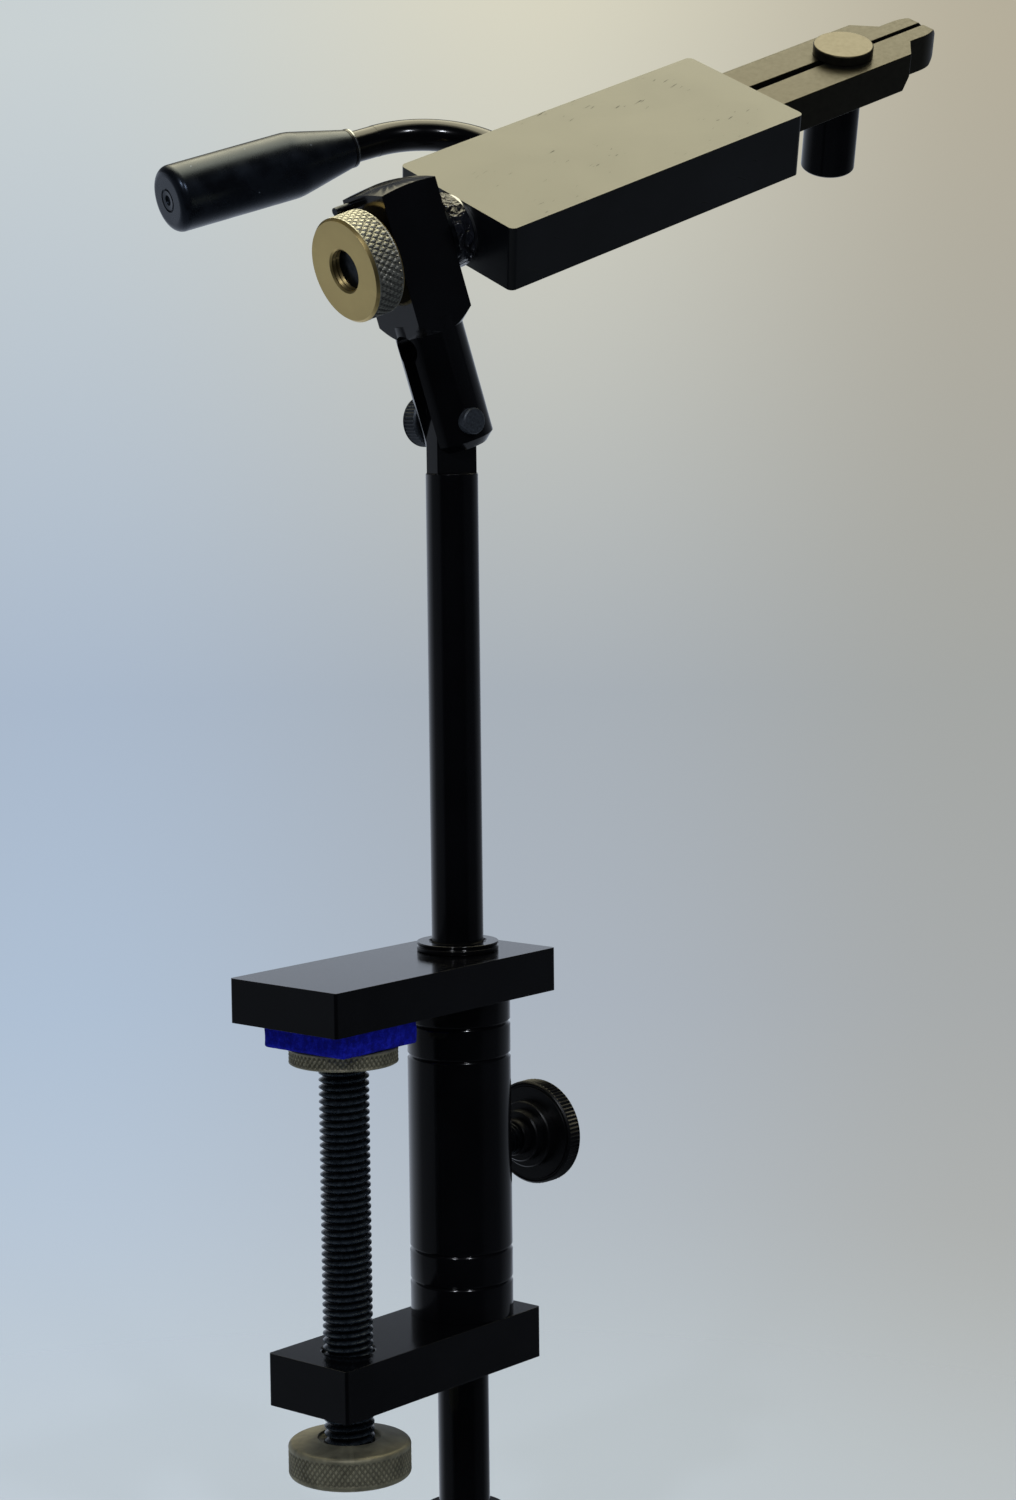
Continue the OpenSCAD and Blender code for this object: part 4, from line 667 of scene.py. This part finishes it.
# Tilt pin
# Quarter-inch steel pin through the fork and the tongue, with a plain turned face on the near side.
# Its thin blacking lets the grey steel through, most of all on the edges. The stop pin in the
# block's head and the knob's washer are oil blackened.
grey_steel, tree, shader, point = new_finish("thinly_blackened_grey_steel", {"Metallic": 0.8})
crystals = add_node(tree, "TexNoise", {"Scale": 2000.0, "Detail": 4.0}, {"Vector": point})
coat = add_node(tree, "ValToRGB", sources={0: crystals})
set_ramp(coat, (0.3, "#3d4044"), (0.7, "#565b61"))
crest = add_node(tree, "NewGeometry").outputs["Pointiness"]
rubbed = add_node(tree, "MapRange", {1: 0.46, 2: 0.56, 3: 0.4, 4: 1.6}, {0: crest})
worn_coat = add_node(tree, "Mix", multiply, {6: coat, 7: rubbed})
dullness = add_node(tree, "MapRange", {3: 0.4, 4: 0.55}, {0: crystals})
feed(shader, {"Base Color": worn_coat.outputs[2], "Roughness": dullness})
pin = broken_edges("tilt_pin", width=0.0001, segments=1, corner=40)
show("hinge_pin", pin, grey_steel, "knuckle", "tilt_pin")
dress("stop_pin", blackened_steel)
dress("tilt_washer", blackened_steel)


# Tilt knob
# A small round nut with fine straight teeth, which clamps the fork on the tongue through a washer.
# It has the pin's thin blacking, lighter where fingers have rubbed the teeth.
hinge = (0.0414, 0, 0.14575)
swivel = math.radians(-13)
tilt = math.radians(-18.5)
knuckle_frame = Matrix.Translation(hinge) @ Matrix.Rotation(swivel, 4, "Z") @ Matrix.Rotation(tilt, 4, "Y")
along_y = Matrix.Rotation(math.radians(-90), 4, "X")
# The fork's flat, the washer and the two gaps beside it
knob_seat = 0.00575 + 0.0006 + 2 * 0.00012
r = 0.0063
bore = 0.003235
bm, _ = toothed_rings([
    (bore, 0, 0), (r - 0.0004, 0, 0), (r, 0.0004, 0),
    (r, 0.0006, 0.0003), (r, 0.0044, 0.0003),
    (r, 0.0046, 0), (r - 0.0004, 0.005, 0), (0.0036, 0.005, 0), (bore, 0.0047, 0), (bore, 0, 0),
], teeth=44)
place = knuckle_frame @ Matrix.Translation((0, knob_seat, 0)) @ along_y
bmesh.ops.transform(bm, matrix=place, verts=bm.verts)
show("tilt_nut", close_piece(bm), grey_steel, "tilt_knob", "tilt_knob")


# Rotary shaft, thrust washer and drag washer
# The head turns on a steel shaft in the block's bushes, between a washer at each side.
# All are blackened and lightly oiled.
for node in ("rotary_shaft", "thrust_washer", "drag_washer"):
    dress(node, blackened_steel)


# Rotary collar
# A thick black collar between the block and the housing, its paint uneven and very glossy.
# A thin bright ring shows at the housing's side.
lumpy_enamel, tree, shader, point = new_finish("brushed_black_enamel", {"Roughness": 0.08})
# Brush lumps 3 to 4 mm apart
lumps = add_node(tree, "TexNoise", {"Scale": 280.0, "Detail": 2.0, "Distortion": 1.6}, {"Vector": point})
waves = add_node(tree, "Bump", {"Strength": 1.0, "Distance": 0.0014}, {"Height": lumps})
tones = add_node(tree, "ValToRGB", sources={0: lumps})
set_ramp(tones, (0.4, "#0c0c0e"), (0.7, "#202126"))
feed(shader, {"Base Color": tones, "Normal": waves})
collar = broken_edges("rotary_collar", width=0.0003, segments=3, corner=30)
show("shaft_collar", collar, lumpy_enamel, "head", "rotary_collar")

bright_steel, tree, shader, point = new_finish("turned_bright_steel", {"Metallic": 1.0})
smear = add_node(tree, "TexNoise", {"Scale": 500.0, "Detail": 4.0}, {"Vector": point})
steel = add_node(tree, "ValToRGB", sources={0: smear})
set_ramp(steel, (0.3, "#8a8c8e"), (0.7, "#a8aaac"))
haze = add_node(tree, "MapRange", {3: 0.25, 4: 0.4}, {0: smear})
feed(shader, {"Base Color": steel, "Roughness": haze})
dress("bright_ring", bright_steel)


# Brass nut
# A thick brass nut with a diamond knurl and a narrow chamfer at each face.
# Thread grooves show in its hole, and the shaft's dark end lies deeper in.
clean_brass, tree, shader, point = new_finish("satin_turned_brass", {"Metallic": 1.0})
# A fine cut leaves a grain of about 0.2 mm, and fingers leave it faintly clouded
grain = add_node(tree, "TexNoise", {"Scale": 5000.0, "Detail": 2.0}, {"Vector": point})
cloud = add_node(tree, "TexNoise", {"Scale": 140.0, "Detail": 4.0}, {"Vector": point})
cut_face = add_node(tree, "ValToRGB", sources={0: cloud})
set_ramp(cut_face, (0.3, "#e6cb88"), (0.7, "#efd58f"))
handled_rim = add_node(tree, "ValToRGB", sources={0: cloud})
set_ramp(handled_rim, (0.3, "#c9c8bb"), (0.7, "#d6d5c8"))
# The rolled rim is greyed and dulled by handling; the turned faces keep their yellow
axle = knuckle_frame.to_3x3() @ Vector((1, 0, 0))
normal = point.node.outputs["Normal"]
facing = add_node(tree, "VectorMath", {"operation": "DOT_PRODUCT", 1: axle}, {0: normal})
outward = add_node(tree, "Math", {"operation": "ABSOLUTE"}, {0: facing.outputs["Value"]})
on_face = add_node(tree, "MapRange", {1: 0.45, 2: 0.6}, {0: outward})
fresh = add_node(tree, "Mix", {"data_type": "RGBA"}, {0: on_face, 6: handled_rim, 7: cut_face})
hollow = add_node(tree, "NewGeometry").outputs["Pointiness"]
soot = add_node(tree, "MapRange", {1: 0.42, 2: 0.56, 3: 0.1, 4: 1.0}, {0: hollow})
sooty = add_node(tree, "Mix", multiply, {6: fresh.outputs[2], 7: soot})
finish = add_node(tree, "MapRange", {3: 0.34, 4: 0.42}, {0: cloud})
rolled = add_node(tree, "MapRange", {1: 0.0, 2: 1.0, 3: 0.52}, {0: on_face, 4: finish})
fine_cut = add_node(tree, "Bump", {"Strength": 0.08, "Distance": 0.00003}, {"Height": grain})
feed(shader, {"Base Color": sooty.outputs[2], "Roughness": rolled, "Normal": fine_cut})

axis_rise = 0.043
axis_frame = knuckle_frame @ Matrix.Translation((0, 0, axis_rise))
nut_rear = -0.01764
nut_thick = 0.0084
nut_r = 0.0127
thread_root = 0.00506
thread_end = 0.0032
bm, rear_edge, front_edge = diamond_knurled(
    nut_r, 0.0007, nut_thick - 0.0007, pitch=0.0018, depth=0.00042, sharpness=4
)
thread = []
for i in range(1, 5):
    groove = 0.0004 if i % 2 else 0.0
    thread.append((thread_root + groove, 0.0004 + i * 0.00055))
cap_rings(bm, rear_edge, [
    (nut_r - 0.0001, 0.0006),
    (nut_r - 0.0006, 0.0),
    (0.0055, 0.0),
    (thread_root, 0.0004),
    *thread,
    (thread_root, thread_end),
])
cap_rings(bm, front_edge, [
    (nut_r - 0.0001, nut_thick - 0.0006),
    (nut_r - 0.0006, nut_thick),
    (thread_root, nut_thick),
    (thread_root, thread_end),
])
place = axis_frame @ Matrix.Translation((nut_rear, 0, 0)) @ along_x
bmesh.ops.transform(bm, matrix=place, verts=bm.verts)
show("drag_nut", close_piece(bm), clean_brass, "brass_nut", "brass_nut")


# Head housing
# A flat milled aluminium block with a screwed cover below, both bead blasted and black anodised,
# so that they are satin. Worn smooth by hands, the top mirrors the warm lamp.
satin_black, tree, shader, point = new_finish(
    "satin_black_anodised_aluminium", {"IOR": 1.65, "Specular Tint": (0.77, 0.78, 0.69, 1.0)}
)
# Blasting leaves a grain of about 0.25 mm
grain = add_node(tree, "TexNoise", {"Scale": 4000.0, "Detail": 3.0}, {"Vector": point})
smudge = add_node(tree, "TexNoise", {"Scale": 45.0, "Detail": 5.0, "Distortion": 0.6}, {"Vector": point})
dye = add_node(tree, "ValToRGB", sources={0: smudge})
set_ramp(dye, (0.3, "#08090d"), (0.75, "#0e0f14"))
# A few dull pits under a millimetre across, and short hair scratches where it is handled most.
# Both masks are 0 in the mark and 1 on whole skin
cells = add_node(tree, "TexVoronoi", {"Scale": 60.0, "Randomness": 1.0}, {"Vector": point})
pit = add_node(tree, "MapRange", {1: 0.018, 2: 0.024, 3: 0.0, 4: 1.0}, {0: cells})
drawn_out = {"Rotation": (0.0, 0.0, 1.1), "Scale": (90.0, 2400.0, 500.0)}
stretch = add_node(tree, "Mapping", drawn_out, {"Vector": point})
streaks = add_node(tree, "TexNoise", {"Scale": 1.0, "Detail": 1.0, "Distortion": 0.3}, {"Vector": stretch})
streak = add_node(tree, "MapRange", {1: 0.72, 2: 0.75, 3: 1.0, 4: 0.0}, {0: streaks})
unhandled = add_node(tree, "MapRange", {1: 0.49, 2: 0.53, 3: 1.0, 4: 0.0}, {0: smudge})
scratch = add_node(tree, "Math", {"operation": "MAXIMUM"}, {0: streak, 1: unhandled})
whole = add_node(tree, "Math", {"operation": "MINIMUM"}, {0: pit, 1: scratch})
satin = add_node(tree, "MapRange", {1: 0.3, 2: 0.7, 3: 0.29, 4: 0.34}, {0: smudge})
marked = add_node(tree, "MapRange", {1: 0.0, 2: 1.0, 3: 0.85}, {0: whole, 4: satin})
marks = add_node(tree, "Math", {"operation": "MULTIPLY", 1: 6.0}, {0: whole})
skin = add_node(tree, "Math", {"operation": "ADD"}, {0: marks, 1: grain})
blasted = add_node(tree, "Bump", {"Strength": 0.06, "Distance": 0.00005}, {"Height": skin})
feed(shader, {"Base Color": dye, "Roughness": marked, "Normal": blasted})

housing = broken_edges("head_housing", width=0.0003, segments=2, corner=35)
show("housing", housing, satin_black, "head", "head_housing")
cover = broken_edges("bottom_cover", width=0.00015, segments=1, corner=35)
show("cover", cover, satin_black, "head", "bottom_cover")


# Inside the head
# The bridge that carries the jaws and all screws of the head are of oil-blackened steel. The slide
# that works the jaws and the dowel that keeps the lever in are bright. Little of them shows.
for node in ("cover_screws", "shaft_set_screws", "bridge_screws", "adjuster_screw", "jaw_bridge"):
    dress(node, blackened_steel)
for node in ("lever_dowel", "jaw_slide"):
    dress(node, bright_steel)


# Lever rod
# A steel rod bent on a former, with the clamp's polished black. Inside the housing it ends in a
# crank pin. Its straight end is pressed in the grip.
dress("lever_rod", gloss_black)


# Lever grip
# A turned handle of black phenolic plastic: a plain body, a cone down to the neck, a rounded end
# and a small centre dimple left by the lathe. Handling has polished it unevenly.
phenolic, tree, shader, point = new_finish(
    "black_phenolic_plastic", {"IOR": 1.5, "Specular Tint": (0.6, 0.75, 1.0, 1.0)}
)
handled = add_node(tree, "TexNoise", {"Scale": 180.0, "Detail": 5.0}, {"Vector": point})
polish = add_node(tree, "MapRange", {1: 0.3, 2: 0.7, 3: 0.22, 4: 0.34}, {0: handled})
resin = add_node(tree, "ValToRGB", sources={0: handled})
set_ramp(resin, (0.3, "#0a0b0d"), (0.7, "#14161a"))
# A few pale specks of dust and knocks, 0.4 mm across, cling to the handled parts
cells = add_node(tree, "TexVoronoi", {"Scale": 330.0}, {"Vector": point})
dot = add_node(tree, "MapRange", {1: 0.05, 2: 0.08, 3: 1.0, 4: 0.0}, {0: cells})
patch = add_node(tree, "MapRange", {1: 0.52, 2: 0.56}, {0: handled})
speck = add_node(tree, "Math", {"operation": "MULTIPLY"}, {0: dot, 1: patch})
specked = add_node(tree, "Mix", {"data_type": "RGBA", 7: linear("#8b9096")}, {0: speck, 6: resin})
feed(shader, {"Base Color": specked.outputs[2], "Roughness": polish})

# The rod leaves the rolled head, turns by 83.5 degrees on a bend of 23.5 mm and enters the grip
head_roll = math.radians(25.7)
head_frame = axis_frame @ Matrix.Rotation(head_roll, 4, "X")
bend_r = 0.0235
bend_turn = math.radians(83.5)
bend_end = head_frame @ Matrix.Translation((0.05052 - bend_r, 0.0238, 0))
bend_end = bend_end @ Matrix.Rotation(bend_turn, 4, "Z")
bend_end = bend_end @ Matrix.Translation((bend_r, 0, 0)) @ along_y
neck = 0.007
neck_r = 0.0049
grip_long = 0.0522
grip_r = 0.00825
rod_r = 0.00392
rod_depth = grip_long * 0.7
cone_end = 0.33 * grip_long
rubbed_half = 0.0015
end_round = 0.0024
corners = [(rod_r, 0.001), (neck_r - 0.0002, 0.001), (neck_r, 0.0012)]
# The shoulder between the cone and the body is rubbed round
for i in range(9):
    share = i / 8
    shrink = (grip_r - neck_r) * rubbed_half / cone_end * (1 - share) ** 2
    corners.append((grip_r - shrink, cone_end - rubbed_half + 2 * rubbed_half * share))
for i in range(13):
    turn = math.radians(90 * i / 12)
    drop = end_round * (1 - math.sin(turn))
    corners.append((grip_r - end_round * (1 - math.cos(turn)), grip_long - drop))
# A ring and a dimple in the end face, then the hole for the rod
corners += [(0.003, grip_long), (0.0027, grip_long - 0.0003), (0.0024, grip_long)]
corners += [(0.0013, grip_long - 0.0001), (0.0011, grip_long - 0.0006), (0, grip_long - 0.0008)]
corners += [(0, rod_depth), (rod_r, rod_depth)]
bm = turned(corners, steps=96)
bmesh.ops.transform(bm, matrix=bend_end @ Matrix.Translation((0, 0, neck)), verts=bm.verts)
show("handle", bm, phenolic, "lever", "lever_grip", sharp=40)

# The ring at the neck is black too, with a thin bright lip on its rod side
neck_ring, tree, shader, point = new_finish("black_ring_with_bright_lip", {"Roughness": 0.25})
ring_axis = (bend_end.to_3x3() @ Vector((0, 0, 1))).normalized()
ring_start = (bend_end @ Vector((0, 0, neck))).dot(ring_axis)
along = add_node(tree, "VectorMath", {"operation": "DOT_PRODUCT", 1: ring_axis}, {0: point}).outputs["Value"]
lip_range = {1: ring_start + 0.0003, 2: ring_start + 0.0004, 3: 1.0, 4: 0.0}
lip = add_node(tree, "MapRange", lip_range, {0: along})
ring_colours = {"data_type": "RGBA", 6: linear("#0d0d0f"), 7: linear("#a4a8ab")}
ring_tone = add_node(tree, "Mix", ring_colours, {0: lip})
feed(shader, {"Base Color": ring_tone.outputs[2], "Metallic": lip})
dress("grip_ring", neck_ring)


# Jaws
# Two steel jaws, one the other's mirror image, hardened at the nose, blackened and left satin.
# The very tip is painted light reddish-brown and made partly metallic: a painted highlight on its rounded
# front.
jaw_black, tree, shader, point = new_finish(
    "satin_black_hardened_steel", {"Specular Tint": (0.36, 0.26, 0.0, 1.0)}
)
forward = head_frame.to_3x3() @ Vector((1, 0, 0))
nose = (head_frame @ Vector((0.1815, 0, 0))).dot(forward)
reach = add_node(tree, "VectorMath", {"operation": "DOT_PRODUCT", 1: forward}, {0: point})
# Painted highlight: the last 0.8 mm of the nose is given a light reddish-brown colour and partly metallic
tip_highlight_mask = add_node(tree, "MapRange", {1: nose - 0.0008, 2: nose + 0.0003}, {0: reach.outputs["Value"]})
fret = add_node(tree, "TexNoise", {"Scale": 900.0, "Detail": 5.0}, {"Vector": point})
skin = add_node(tree, "ValToRGB", sources={0: fret})
set_ramp(skin, (0.3, "#0d0c0b"), (0.75, "#181713"))
tip_highlight_colour = add_node(tree, "ValToRGB", sources={0: fret})
set_ramp(tip_highlight_colour, (0.3, "#8f6353"), (0.7, "#b98a76"))
tone = add_node(tree, "Mix", {"data_type": "RGBA"}, {0: tip_highlight_mask, 6: skin, 7: tip_highlight_colour})
tip_metal_share = add_node(tree, "Math", {"operation": "MULTIPLY", 1: 0.4}, {0: tip_highlight_mask})
satin = add_node(tree, "MapRange", {1: 0.3, 2: 0.7, 3: 0.28, 4: 0.38}, {0: fret})
feed(shader, {"Base Color": tone.outputs[2], "Metallic": tip_metal_share, "Roughness": satin})
for node in ("left_jaw", "right_jaw"):
    jaw = broken_edges(node, width=0.0002, segments=2, corner=30)
    show(node + "_steel", jaw, jaw_black, node, node)


# Pivot post
# A steel post with a round flat cap, on which both jaws turn.
# Its top is worn to the same satin as the jaws, and mirrors more of the warm lamp.
worn_cap = jaw_black.copy()
worn_cap.name = "worn_satin_black_steel"
worn_shader = worn_cap.node_tree.nodes["Principled BSDF"]
worn_shader.inputs["IOR"].default_value = 1.65
worn_shader.inputs["Specular Tint"].default_value = (0.93, 0.77, 0.42, 1.0)
post = broken_edges("pivot_post", width=0.00015, segments=2, corner=40)
show("pivot_cap", post, worn_cap, "head", "pivot_post")


# Jaw spring
# A small coil spring of bright wire between the jaws, ahead of the pivot.
# It sits in a blind hole in each jaw and pushes them open.
wire_r = 0.00022
coil_r = 0.00115
coil_long = 0.0044
coils = 5
steps = 120
bm = bmesh.new()
bmesh.ops.create_circle(bm, cap_ends=False, segments=8, radius=wire_r)
bmesh.ops.rotate(bm, cent=(0, 0, 0), matrix=Matrix.Rotation(math.radians(90), 3, "X"), verts=bm.verts)
bmesh.ops.translate(bm, vec=(coil_r, 0, -coil_long / 2), verts=bm.verts)
bmesh.ops.spin(
    bm, geom=bm.verts[:] + bm.edges[:], cent=(0, 0, 0), axis=(0, 0, 1), dvec=(0, 0, coil_long / steps),
    angle=2 * math.pi * coils, steps=steps, use_merge=False,
)
bmesh.ops.holes_fill(bm, edges=[e for e in bm.edges if e.is_boundary], sides=0)
bmesh.ops.recalc_face_normals(bm, faces=bm.faces)
place = head_frame @ Matrix.Translation((0.15642, 0, 0.0033)) @ along_y
bmesh.ops.transform(bm, matrix=place, verts=bm.verts)
show("opening_spring", bm, bright_steel, "head", "jaw_spring", sharp=60)


# Adjuster
# A plain black aluminium sleeve that turns on the stud below the jaws, kept on by a screw.
# Its black is denser and less polished than the clamp's.
dense_black = gloss_black.copy()
dense_black.name = "dense_black_anodised_aluminium"
dense_black.node_tree.nodes["Principled BSDF"].inputs["Specular IOR Level"].default_value = 0.2
sleeve = broken_edges("adjuster_sleeve", width=0.0002, segments=3, corner=40)
show("adjuster_body", sleeve, dense_black, "adjuster", "adjuster_sleeve")
